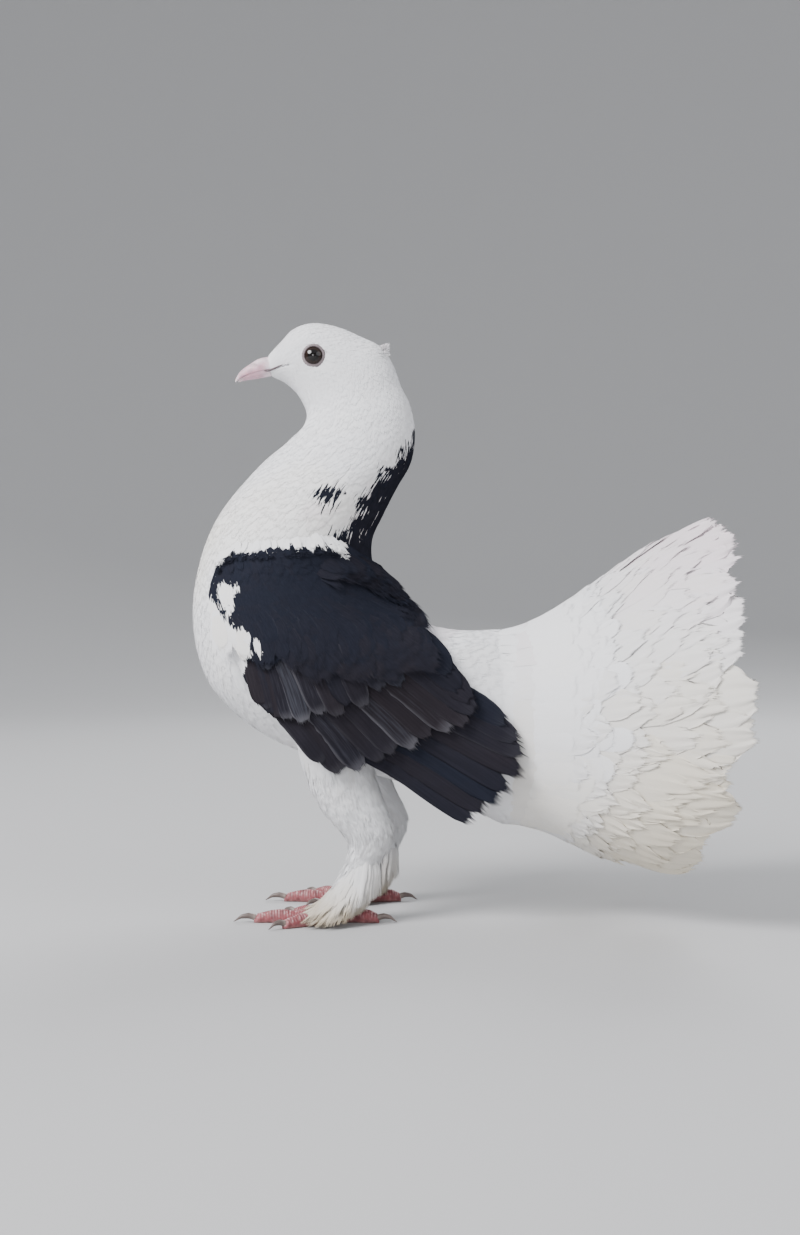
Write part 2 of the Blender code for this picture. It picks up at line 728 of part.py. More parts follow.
def vane_knots(knots, end_knots, length):
    """A vane's knots, with the last ones counted from its tip."""
    return knots + [(length + place, height, half_vane) for place, height, half_vane in end_knots]


def tail_part(name, feathers, coverts, first_turn, last_turn, lengths, material):
    """A third of the tail: its share of the root, the long feathers and the coverts."""
    core = tail_core(name, first_turn, last_turn, material)
    vanes = []
    for index in feathers:
        knots = vane_knots(TAIL_FEATHER, TAIL_FEATHER_END, lengths[index])
        label = f"{name} feather {index}"
        vanes.append(tail_vane(label, index, TAIL_PITCH, TAIL_STACK, knots, TAIL_THICK, material))
    for index in coverts:
        turn = abs(index) * TAIL_COVERT_PITCH
        low = smooth((turn - TAIL_COVERT_LONGER_FROM) / (TAIL_LOWEST_TURN - TAIL_COVERT_LONGER_FROM))
        length = mix(TAIL_COVERT_LENGTH, TAIL_COVERT_LENGTH_LOWEST, low)
        wider = mix(1.0, TAIL_COVERT_WIDER_LOWEST, low)
        knots = vane_knots(TAIL_COVERT, TAIL_COVERT_END, length)
        knots = [(place, height, half_vane * wider) for place, height, half_vane in knots]
        label = f"{name} covert {index}"
        vane = tail_vane(
            label, index, TAIL_COVERT_PITCH, TAIL_COVERT_STACK, knots, TAIL_COVERT_THICK, material
        )
        vanes.append(vane)
    combine(core, vanes, "UNION")


def tail(material):
    """The whole tail in three parts: the middle and the two sides."""
    draw = random.Random(SEED)
    lengths = {}
    for index in range(-TAIL_LAST_FEATHER, TAIL_LAST_FEATHER + 1):
        lengths[index] = 1.0 + draw.uniform(-TAIL_PLACE_SPREAD, TAIL_PLACE_SPREAD)
    edge = TAIL_CENTRE_EACH_SIDE
    covert_edge = TAIL_COVERTS_CENTRE
    cut = TAIL_CORE_CUT
    middle = range(-edge, edge + 1)
    middle_coverts = range(-covert_edge, covert_edge + 1)
    tail_part("tail_centre", middle, middle_coverts, -cut, cut, lengths, material)
    left = range(edge + 1, TAIL_LAST_FEATHER + 1)
    left_coverts = range(covert_edge + 1, TAIL_LAST_COVERT + 1)
    tail_part("tail_left", left, left_coverts, cut, math.pi, lengths, material)
    right = [-index for index in left]
    right_coverts = [-index for index in left_coverts]
    tail_part("tail_right", right, right_coverts, -math.pi, -cut, lengths, material)


def crest_lock(name, place, material):
    """One pointed lock of the crest. Place counts sideways from the middle one."""
    away = abs(place)
    back, lower = CREST_ROOT_STEP
    root = Vector((CREST_ROOT[0] + back * away, place * CREST_SPACING, CREST_ROOT[1] + lower * away**2))
    back, lower = CREST_TIP_STEP
    tip = Vector((CREST_TIP[0] + back * away, place * CREST_TIP_SPACING, CREST_TIP[1] + lower * away))
    course = tip - root
    across = Vector((0.0, 1.0, 0.0))
    upward = across.cross(course).normalized() * -1
    outer = []
    inner = []
    for t, width, thick, lift in CREST_LOCK_SHAPE:
        middle = root + course * t + upward * lift
        side = across * (CREST_LOCK_WIDTH / 2 * width)
        outer.append([middle - side + upward * thick / 2, middle + side + upward * thick / 2])
        inner.append([middle - side - upward * thick / 2, middle + side - upward * thick / 2])
    return solid(name, *blade(outer, inner), material)


def lid(name, side, material):
    """The roll of skin round an eye."""
    sides = LID_SIDES
    around = LID_ROLL_SIDES
    rings = []
    for j in range(sides):
        turn = 2 * math.pi * j / sides
        outward = Vector((math.cos(turn), 0.0, math.sin(turn)))
        middle = Vector((EYE_CENTRE[0], side * LID_PLANE_Y, EYE_CENTRE[2])) + outward * LID_RING_RADIUS
        ring = []
        for k in range(around):
            roll = 2 * math.pi * k / around
            ring.append(
                middle
                + outward * (LID_ROLL_RADIUS * math.cos(roll))
                + Vector((0.0, side * LID_ROLL_RADIUS * math.sin(roll), 0.0))
            )
        rings.append(ring)
    points = [point for ring in rings for point in ring]
    faces = []
    for j in range(sides):
        for k in range(around):
            a = j * around + k
            b = j * around + (k + 1) % around
            c = ((j + 1) % sides) * around + (k + 1) % around
            d = ((j + 1) % sides) * around + k
            faces.append((a, b, c, d))
    return solid(name, points, faces, material)


def mouth_cutter(name, side, material):
    """A thin wedge that cuts the line of the mouth into one cheek."""
    front_x, front_z = MOUTH_FRONT
    back_x, back_z = MOUTH_BACK
    half = MOUTH_HEIGHT / 2
    rings = []
    for x, y, z in (
        (front_x, MOUTH_FRONT_Y, front_z),
        (front_x, MOUTH_BEYOND_Y, front_z),
        (back_x, MOUTH_BEYOND_Y, back_z),
        (back_x, MOUTH_BACK_Y, back_z),
    ):
        rings.append([(x, side * y, z - half), (x, side * y, z + half)])
    points = [ring[0] for ring in rings] + [ring[1] for ring in rings]
    faces = [(0, 1, 2, 3), (4, 5, 6, 7)]
    faces += [(k, (k + 1) % 4, 4 + (k + 1) % 4, 4 + k) for k in range(4)]
    return solid(name, points, faces, material)


def dress_head(head, material):
    """Adds lids and the crest to the head, then cuts the eye sockets and the mouth."""
    added = [lid(f"lid {side}", side, material) for side in (LEFT, RIGHT)]
    for place in range(-CREST_LOCKS_EACH_SIDE, CREST_LOCKS_EACH_SIDE + 1):
        added.append(crest_lock(f"crest lock {place}", place, material))
    combine(head, added, "UNION")
    cutters = []
    for side in (LEFT, RIGHT):
        centre = (EYE_CENTRE[0], side * EYE_CENTRE[1], EYE_CENTRE[2])
        socket = EYE_RADIUS + GAP
        cutters.append(ball(f"socket {side}", centre, (socket, socket, socket), material, *EYE_STEPS))
        cutters.append(mouth_cutter(f"mouth {side}", side, material))
    combine(head, cutters, "DIFFERENCE")


def eyes(material):
    for side in (LEFT, RIGHT):
        centre = (EYE_CENTRE[0], side * EYE_CENTRE[1], EYE_CENTRE[2])
        radii = (EYE_RADIUS, EYE_RADIUS, EYE_RADIUS)
        ball("eye_" + SIDE_NAMES[side], centre, radii, material, *EYE_STEPS)


def bill_half(name, rows, upward, material):
    """One half of the bill: a vault over a flat edge, or under it."""
    rings = []
    for forward, ridge, edge, half_width in rows:
        x = BILL_ROOT_X - GAP - forward
        ring = []
        for k in range(BILL_ARC_STEPS + 1):
            turn = math.pi * k / BILL_ARC_STEPS
            flat, vault = (edge, ridge) if upward else (ridge, edge)
            ring.append((x, half_width * math.cos(turn), mix(flat, vault, math.sin(turn))))
        rings.append(ring)
    return solid(name, *tube(rings), material)


def bill(material):
    upper = bill_half("bill_upper", UPPER_BILL, True, material)
    ceres = []
    nostrils = []
    for side in (LEFT, RIGHT):
        x, y, z = CERE_CENTRE
        ceres.append(ball(f"cere {side}", (x, side * y, z), CERE_RADII, material, 6, 10))
        x, y, z = NOSTRIL_CENTRE
        nostrils.append(ball(f"nostril {side}", (x, side * y, z), NOSTRIL_RADII, material, 4, 8))
    combine(upper, ceres, "UNION")
    combine(upper, nostrils, "DIFFERENCE")
    bill_half("bill_lower", LOWER_BILL, False, material)


def leg_back_step(side, z):
    """How far a leg stands behind the left one at a height."""
    if side == LEFT:
        return 0.0
    return mix(RIGHT_FOOT_BACK, RIGHT_HIP_BACK, smooth(z / HIP_HEIGHT))


def leg_row(side, place):
    """Middle, half length and half width of a leg at a place along its rows."""
    z, front_x, back_x, away, half_width = curve_value(LEG_STATIONS, place)
    step = leg_back_step(side, z)
    middle = Vector(((front_x + back_x) / 2 + step, side * away, z))
    return middle, (back_x - front_x) / 2, half_width


def leg_length(name, side, first, last, material, shift=0.0):
    rings = []
    for row in range(first, last + 1):
        middle, half_length, half_width = leg_row(side, row)
        if row == first:
            middle = middle - Vector((0.0, 0.0, shift))
        ring = []
        for j in range(LEG_SIDES):
            turn = 2 * math.pi * j / LEG_SIDES
            away = Vector((half_length * math.cos(turn), half_width * math.sin(turn), 0.0))
            ring.append(middle + away)
        rings.append(ring)
    return solid(name, *tube(rings), material)


def leg_feather(name, side, turn, path, thick, material):
    """A soft feather that hangs on a leg at a turn round it."""
    outer = []
    inner = []
    for k, (place, reach, height) in enumerate(path):
        middle, half_length, leg_half_width = leg_row(side, place)
        outward = Vector((math.cos(turn), side * math.sin(turn), 0.0))
        across = Vector((-math.sin(turn), side * math.cos(turn), 0.0))
        surface = 1.0 / math.hypot(math.cos(turn) / half_length, math.sin(turn) / leg_half_width)
        spot = middle + outward * (surface + reach)
        spot.z = height
        wide = across * LEG_FEATHER_WIDTH * LEG_FEATHER_SHARES[k]
        deep = outward * (mix(*thick, k / (len(path) - 1)) / 2)
        outer.append([spot - wide + deep, spot + wide + deep])
        inner.append([spot - wide - deep, spot + wide - deep])
    return solid(name, *blade(outer, inner), material)


def body_clearance(material):
    """The torso and the rump, a little larger, to cut what grows from them."""
    return [
        body_length(name + " clearance", first, last, steps, material, BODY_CLEARANCE)
        for name, first, last, steps in BODY_LENGTHS[2:]
    ]


def legs(material):
    """Thighs and feathered shanks."""
    for side in (LEFT, RIGHT):
        tag = SIDE_NAMES[side]
        thigh = leg_length("thigh_" + tag, side, *THIGH_ROWS, material)
        added = []
        for k in range(THIGH_FEATHERS):
            share = k / (THIGH_FEATHERS - 1)
            turn = math.radians(mix(*THIGH_FEATHER_TURNS, share))
            drop = THIGH_FEATHER_DROP * math.cos(math.radians(mix(-180.0, 180.0, share)))
            path = THIGH_FEATHER[:1] + [(place, reach, z - drop) for place, reach, z in THIGH_FEATHER[1:]]
            label = f"thigh feather {k}"
            added.append(leg_feather(label, side, turn, path, THIGH_FEATHER_THICK, material))
        combine(thigh, added, "UNION")
        combine(thigh, body_clearance(material), "DIFFERENCE")
        shank = leg_length("shank_" + tag, side, *SHANK_ROWS, material, GAP)
        added = []
        for k in range(SHANK_FEATHERS):
            turn = 2 * math.pi * (k + 0.5) / SHANK_FEATHERS
            ahead = max(smooth(-math.cos(turn) * 1.3), smooth((math.cos(turn) - 0.7) * 4.0))
            path = [
                [mix(low, high, ahead) for low, high in zip(hanging, over)]
                for hanging, over in zip(SHANK_FEATHER, SHANK_FEATHER_OVER_TOES)
            ]
            label = f"shank feather {k}"
            added.append(leg_feather(label, side, turn, path, SHANK_FEATHER_THICK, material))
        combine(shank, added, "UNION")


def toe_course(side, heading):
    """Direction of a toe in plan, and the direction across it."""
    angle = math.radians(heading)
    ahead = Vector((-math.cos(angle), side * math.sin(angle), 0.0))
    return ahead, Vector((-ahead.y, ahead.x, 0.0))


def foot_centre(side):
    step = leg_back_step(side, 0.0)
    return Vector((FOOT_CENTRE_X + step, side * LEG_STATIONS[-1][3], 0.0))


def toe(name, side, heading, length, material):
    ahead, across = toe_course(side, heading)
    start = foot_centre(side)
    rings = []
    for place, radius in zip(TOE_PLACES, TOE_RADII):
        middle = start + ahead * (length * place) + Vector((0.0, 0.0, radius - FOOT_SINK))
        ring = []
        for j in range(TOE_SIDES):
            turn = 2 * math.pi * (j + 0.5) / TOE_SIDES
            around = across * math.cos(turn) + Vector((0.0, 0.0, math.sin(turn)))
            ring.append(middle + around * radius)
        rings.append(ring)
    return solid(name, *tube(rings), material)


def claw(name, side, heading, length, claw_length, material):
    """A curved claw that starts a gap in front of the toe's end."""
    ahead, across = toe_course(side, heading)
    start = foot_centre(side) + ahead * (length + GAP)
    height = TOE_RADII[-1] - FOOT_SINK + CLAW_LIFT
    rings = []
    count = len(CLAW_RADII)
    for k, (radius, rise) in enumerate(zip(CLAW_RADII, CLAW_RISE)):
        share = k / (count - 1)
        middle = start + ahead * (claw_length * share) + Vector((0.0, 0.0, height + rise))
        ring = []
        for j in range(CLAW_SIDES):
            turn = 2 * math.pi * j / CLAW_SIDES
            around = across * math.cos(turn) + Vector((0.0, 0.0, math.sin(turn)))
            ring.append(middle + around * radius)
        rings.append(ring)
    return solid(name, *tube(rings), material)


def foot_pad(name, side, material):
    """The ball of the foot, whose level top meets the shank."""
    middle, half_length, half_width = leg_row(side, len(LEG_STATIONS) - 1)
    rings = []
    for z, grow in FOOT_PAD:
        ring = []
        for j in range(LEG_SIDES):
            turn = 2 * math.pi * j / LEG_SIDES
            ring.append(
                (
                    middle.x + half_length * grow * math.cos(turn),
                    middle.y + half_width * grow * math.sin(turn),
                    z,
                )
            )
        rings.append(ring)
    return solid(name, *tube(rings), material)


def level_sole(target):
    """Cuts the foot level with the floor."""
    shape = bmesh.new()
    shape.from_mesh(target.data)
    cut = bmesh.ops.bisect_plane(
        shape,
        geom=shape.verts[:] + shape.edges[:] + shape.faces[:],
        dist=1e-7,
        plane_co=(0.0, 0.0, 0.0),
        plane_no=(0.0, 0.0, -1.0),
        clear_outer=True,
    )
    rim = [item for item in cut["geom_cut"] if isinstance(item, bmesh.types.BMEdge)]
    bmesh.ops.edgenet_fill(shape, edges=rim)
    bmesh.ops.recalc_face_normals(shape, faces=shape.faces)
    shape.to_mesh(target.data)
    shape.free()


def feet(skin, horn):
    for side in (LEFT, RIGHT):
        tag = SIDE_NAMES[side]
        pad = foot_pad("foot_" + tag, side, skin)
        toes = []
        for toe_name, heading, length, claw_length in TOES:
            toes.append(toe(f"toe {toe_name}", side, heading, length, skin))
            claw(f"claw_{tag}_{toe_name}", side, heading, length, claw_length, horn)
        combine(pad, toes, "UNION")
        level_sole(pad)


def main():
    for old in list(bpy.data.objects):
        bpy.data.objects.remove(old)
    white = finish("white plumage", (0.80, 0.79, 0.76), 0.75)
    black = finish("black plumage", (0.03, 0.032, 0.04), 0.55)
    cream = finish("cream plumage", (0.78, 0.72, 0.62), 0.8)
    pink = finish("pink horn of the bill", (0.62, 0.42, 0.42), 0.45)
    dark = finish("dark eye", (0.02, 0.012, 0.01), 0.08)
    red = finish("red skin of the feet", (0.55, 0.16, 0.15), 0.55)
    horn = finish("dark horn of the claws", (0.12, 0.09, 0.08), 0.4)
    lengths = {}
    for name, first, last, steps in BODY_LENGTHS:
        lengths[name] = body_length(name, first, last, steps, white)
    dress_head(lengths["head"], white)
    eyes(dark)
    bill(pink)
    wing(LEFT, black)
    wing(RIGHT, black)
    tail(white)
    legs(cream)
    feet(red, horn)


main()
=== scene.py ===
"""Fantail pigeon, saddle marked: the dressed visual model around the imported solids.

Shapes are worked out in the bird's own millimetres, x counted from the middle plane of its stance,
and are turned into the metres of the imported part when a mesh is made.
"""

from __future__ import annotations

import logging
import math
from dataclasses import dataclass, field, replace
from enum import Enum
from typing import Callable

import bpy
import numpy as np
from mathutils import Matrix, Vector
from mathutils.kdtree import KDTree


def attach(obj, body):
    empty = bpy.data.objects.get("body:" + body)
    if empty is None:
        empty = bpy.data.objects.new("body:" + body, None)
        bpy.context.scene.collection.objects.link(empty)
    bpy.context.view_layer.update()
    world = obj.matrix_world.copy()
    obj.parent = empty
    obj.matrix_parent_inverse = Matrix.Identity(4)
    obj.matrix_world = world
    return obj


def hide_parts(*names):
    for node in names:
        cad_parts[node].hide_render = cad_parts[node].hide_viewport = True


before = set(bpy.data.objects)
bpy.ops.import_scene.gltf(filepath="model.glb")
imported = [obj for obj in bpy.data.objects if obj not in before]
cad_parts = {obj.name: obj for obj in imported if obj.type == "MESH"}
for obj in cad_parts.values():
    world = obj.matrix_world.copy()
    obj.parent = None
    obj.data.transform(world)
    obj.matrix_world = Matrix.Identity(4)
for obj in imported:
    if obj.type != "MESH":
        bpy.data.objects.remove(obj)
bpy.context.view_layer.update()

logging.basicConfig(level=logging.INFO, format="%(message)s")
LOG = logging.getLogger("pigeon")

MM = 0.001
MIDDLE_X = 2.5
BODY = "root"
SEED = 11
TURN = 2 * math.pi
OVER = 1.2
BAKE_MAP = "OFBake"
BAKE_PATCH = 0.003
Array = np.ndarray
Rows = tuple[tuple[float, ...], ...]
Triple = tuple[float, float, float]
Socket = bpy.types.NodeSocket


class Side(Enum):
    """The bird's two sides. The value is the sign of Y."""

    LEFT = -1
    RIGHT = 1

    @property
    def word(self) -> str:
        """The side's name in lower case."""
        return self.name.lower()


class Slot(Enum):
    """Material slots of the record."""

    WHITE = "white_plumage"
    BLACK = "black_plumage"
    TAIL = "tail_plumage"
    LEG = "leg_plumage"
    BILL = "bill_horn"
    EYE = "eye"
    FOOT = "foot_skin"
    CLAW = "claw_horn"


def mix(a: float | Array, b: float | Array, t: float | Array) -> float | Array:
    """Linear blend from a to b."""
    return a + (b - a) * t


def smooth(t: float | Array) -> Array:
    """A step from 0 to 1 with level ends."""
    t = np.clip(t, 0.0, 1.0)
    return t * t * (3.0 - 2.0 * t)


def table(place: float | Array, rows: Rows) -> Array:
    """Value at a place in a table of place and value, on straight lines between its rows."""
    return np.interp(place, [row[0] for row in rows], [row[1] for row in rows])


def curve_rows(rows: Array | Rows, place: Array) -> Array:
    """Rows of numbers at places along a table, on a smooth curve through its rows.

    Args:
        rows: table of rows.
        place: places, counted in rows.

    Returns:
        One row of numbers for each place.
    """
    rows = np.asarray(rows, float)
    last = len(rows) - 1
    place = np.clip(np.asarray(place, float), 0.0, last)
    i = np.minimum(place.astype(int), last - 1)
    t = (place - i)[..., None]
    p0, p1, p2, p3 = rows[np.maximum(i - 1, 0)], rows[i], rows[i + 1], rows[np.minimum(i + 2, last)]
    slope_1 = (p2 - p0) / 2
    slope_2 = (p3 - p1) / 2
    cubic = 2 * p1 - 2 * p2 + slope_1 + slope_2
    square = 3 * (p2 - p1) - 2 * slope_1 - slope_2
    return ((cubic * t + square) * t + slope_1) * t + p1


def ripple(points: Array, size: float, seed: int) -> Array:
    """Smooth random waves over space, about -1 to 1.

    Args:
        points: points in millimetres.
        size: length of a wave.
        seed: seed of the waves' directions.

    Returns:
        One value for each point.
    """
    draw = np.random.default_rng(seed)
    total = np.zeros(points.shape[:-1])
    for _ in range(7):
        course = draw.normal(size=3)
        course *= TURN / (size * draw.uniform(0.6, 1.6) * np.linalg.norm(course))
        total += np.sin(points @ course + draw.uniform(0, TURN))
    return total / 3.2


def unit(vectors: Array) -> Array:
    """The vectors at length one."""
    return vectors / np.maximum(np.linalg.norm(vectors, axis=-1, keepdims=True), 1e-9)


def outline_gap(x: Array, z: Array, outline: Rows) -> Array:
    """Distance of points in side view from a closed outline, below zero inside it.

    Args:
        x: first coordinate of each point.
        z: second coordinate of each point.
        outline: corners of the outline.

    Returns:
        One distance for each point.
    """
    spots = np.stack([x, z], -1)
    corners = np.array(outline)
    nearest = np.full(x.shape, np.inf)
    inside = np.zeros(x.shape, bool)
    for start, end in zip(corners, np.roll(corners, -1, 0)):
        course = end - start
        away = spots - start
        t = np.clip(away @ course / (course @ course), 0, 1)
        nearest = np.minimum(nearest, np.linalg.norm(away - t[..., None] * course, axis=-1))
        crossed = (start[1] > z) != (end[1] > z)
        inside ^= crossed & (x < start[0] + (z - start[1]) / (course[1] or 1e-9) * course[0])
    return np.where(inside, -nearest, nearest)


# Forms


@dataclass
class Form:
    """A surface with two coordinates that feathers lie on."""

    def point(self, a: Array, b: Array, height: Array) -> Array:
        """Points at a height over the surface."""
        raise NotImplementedError

    def stretch(self, a: Array, b: Array) -> tuple[Array, Array]:
        """Millimetres that one unit of each coordinate covers.

        Args:
            a: first coordinate of each point.
            b: second coordinate of each point.

        Returns:
            Millimetres for one unit of the first and of the second coordinate.
        """
        step = 0.01
        level = np.zeros_like(a)
        along = self.point(a + step, b, level) - self.point(a - step, b, level)
        around = self.point(a, b + step, level) - self.point(a, b - step, level)
        return (
            np.linalg.norm(along, axis=-1) / (2 * step),
            np.linalg.norm(around, axis=-1) / (2 * step),
        )


@dataclass
class TailForm(Form):
    """The funnel that the tail feathers lie on. Coordinates: place from root to rim, turn from the top."""

    root_x: float = 22.3
    root_z: float = 79.5
    root_half_height: float = 41.5
    root_half_width: float = 30.0
    rim_x: float = 112.0
    rim_side_extra: float = 4.0
    rim_z: float = 88.0
    rim_radius: float = 79.0
    rim_down: float = 73.0
    steepest: float = math.radians(38.0)
    lowest_turn: float = math.radians(150.0)
    lowest_shorter: float = 13.0
    shorter_from: float = math.radians(100.0)

    def point(self, a: Array, b: Array, height: Array) -> Array:
        """Points at a height over the funnel.

        Args:
            a: first coordinate of each point.
            b: second coordinate of each point.
            height: height of each point over the surface, in millimetres.

        Returns:
            One point for each pair of coordinates.
        """
        place, turn = a, (b + math.pi) % TURN - math.pi
        grow = smooth(place)
        upper = 0.5 + 0.5 * np.tanh(np.cos(turn) / 0.12)
        rim = mix(self.rim_down, self.rim_radius, upper)
        half_height = mix(self.root_half_height, rim, grow)
        half_width = mix(self.root_half_width, self.rim_radius, grow)
        shorter = smooth((np.abs(turn) - self.shorter_from) / (self.lowest_turn - self.shorter_from))
        rim_x = self.rim_x + self.rim_side_extra * np.sin(turn) ** 2 - self.lowest_shorter * shorter
        slope = self.steepest * np.maximum(4 * place * (1 - place), 0.0)
        lift = height * np.cos(slope)
        x = mix(self.root_x, rim_x, place) - height * np.sin(slope)
        y = -(half_width + lift) * np.sin(turn)
        z = mix(self.root_z, self.rim_z, place) + (half_height + lift) * np.cos(turn)
        return np.stack(np.broadcast_arrays(x, y, z), -1)


BODY_STATIONS = np.array(
    [
        (-77.6, 230.0, -79.0, 239.1, 4.8),
        (-72.9, 227.9, -73.7, 244.7, 8.2),
        (-69.0, 224.9, -68.1, 250.3, 10.2),
        (-66.0, 221.5, -59.5, 252.8, 11.5),
        (-63.8, 217.6, -49.2, 251.1, 12.2),
        (-62.5, 213.7, -38.9, 246.8, 12.6),
        (-63.0, 210.7, -30.7, 242.5, 12.9),
        (-64.7, 207.3, -25.6, 235.2, 13.5),
        (-68.6, 203.8, -22.1, 225.8, 14.9),
        (-73.3, 199.5, -18.2, 217.6, 17.3),
        (-80.6, 193.5, -16.1, 206.0, 21.0),
        (-88.3, 185.3, -17.8, 193.1, 26.0),
        (-96.5, 175.4, -23.8, 182.3, 31.5),
        (-103.4, 163.8, -29.9, 170.3, 36.5),
        (-108.5, 148.8, -34.6, 159.5, 40.5),
        (-111.1, 131.6, -33.7, 147.9, 43.3),
        (-109.8, 114.4, -27.7, 138.9, 44.8),
        (-104.2, 98.5, -20.4, 130.3, 45.0),
        (-93.5, 86.0, -11.8, 124.3, 44.0),
        (-79.3, 75.7, -2.0, 121.5, 42.0),
        (-63.4, 68.4, 7.0, 120.8, 39.0),
        (-42.0, 61.5, 14.0, 121.0, 35.5),
        (-12.0, 52.5, 19.0, 121.3, 32.0),
        (22.0, 38.0, 22.0, 121.0, 30.0),
    ]
)


@dataclass
class BodyForm(Form):
    """Body from the bill's root to the tail. Coordinates: place along its rows, turn from the back.

    Past its last row the form goes on along the tail's funnel.
    """

    stations: Array = field(default_factory=lambda: BODY_STATIONS)
    tail: TailForm = field(default_factory=TailForm)
    tail_share: float = 0.11

    @property
    def end(self) -> float:
        """Place of the last row."""
        return len(self.stations) - 1.0

    def point(self, a: Array, b: Array, height: Array) -> Array:
        """Points at a height over the body or, past its end, over the tail.

        Args:
            a: first coordinate of each point.
            b: second coordinate of each point.
            height: height of each point over the surface, in millimetres.

        Returns:
            One point for each pair of coordinates.
        """
        place, turn, height = np.broadcast_arrays(a, b, height)
        rows = curve_rows(self.stations, place)
        front = np.stack([rows[..., 0], np.zeros(place.shape), rows[..., 1]], -1)
        back = np.stack([rows[..., 2], np.zeros(place.shape), rows[..., 3]], -1)
        half_depth = np.linalg.norm(back - front, axis=-1) / 2
        across = unit(back - front)
        points = (front + back) / 2 + across * ((half_depth + height) * np.cos(turn))[..., None]
        points[..., 1] += (rows[..., 4] + height) * np.sin(turn)
        beyond = place > self.end
        if beyond.any():
            far = (place[beyond] - self.end) * self.tail_share
            points[beyond] = self.tail.point(far, -turn[beyond], height[beyond])
        return points


LEG_STATIONS = np.array(
    [
        (86.0, -70.0, -30.0, 20.0, 14.5),
        (72.0, -66.5, -33.0, 20.5, 13.6),
        (62.0, -62.5, -33.0, 21.0, 12.8),
        (54.0, -59.5, -30.5, 22.0, 11.8),
        (46.0, -54.8, -28.2, 23.0, 10.6),
        (39.0, -48.6, -26.4, 23.5, 9.4),
        (32.5, -43.8, -27.4, 23.5, 7.8),
        (26.0, -44.8, -31.0, 23.5, 6.8),
        (19.0, -48.0, -35.0, 23.5, 6.4),
        (12.0, -52.0, -38.0, 23.5, 6.8),
        (6.3, -55.0, -41.0, 23.5, 6.8),
    ]
)


@dataclass
class LegForm(Form):
    """A leg from the hip to the foot. Coordinates: place along its rows, turn from the back outwards."""

    side: Side = Side.LEFT
    stations: Array = field(default_factory=lambda: LEG_STATIONS)
    right_foot_back: float = 9.0
    right_hip_back: float = 3.0
    hip_height: float = 80.0

    def step_back(self, z: float | Array) -> float | Array:
        """How far the leg stands behind the left one at a height."""
        if self.side is Side.LEFT:
            return 0.0 * z
        return mix(self.right_foot_back, self.right_hip_back, smooth(z / self.hip_height))

    def point(self, a: Array, b: Array, height: Array) -> Array:
        """Points at a height over the leg.

        Args:
            a: first coordinate of each point.
            b: second coordinate of each point.
            height: height of each point over the surface, in millimetres.

        Returns:
            One point for each pair of coordinates.
        """
        rows = curve_rows(self.stations, a)
        z = rows[..., 0]
        half_length = (rows[..., 2] - rows[..., 1]) / 2
        x = (rows[..., 1] + rows[..., 2]) / 2 + self.step_back(z) + (half_length + height) * np.cos(b)
        y = self.side.value * (rows[..., 3] + (rows[..., 4] + height) * np.sin(b))
        return np.stack(np.broadcast_arrays(x, y, z), -1)


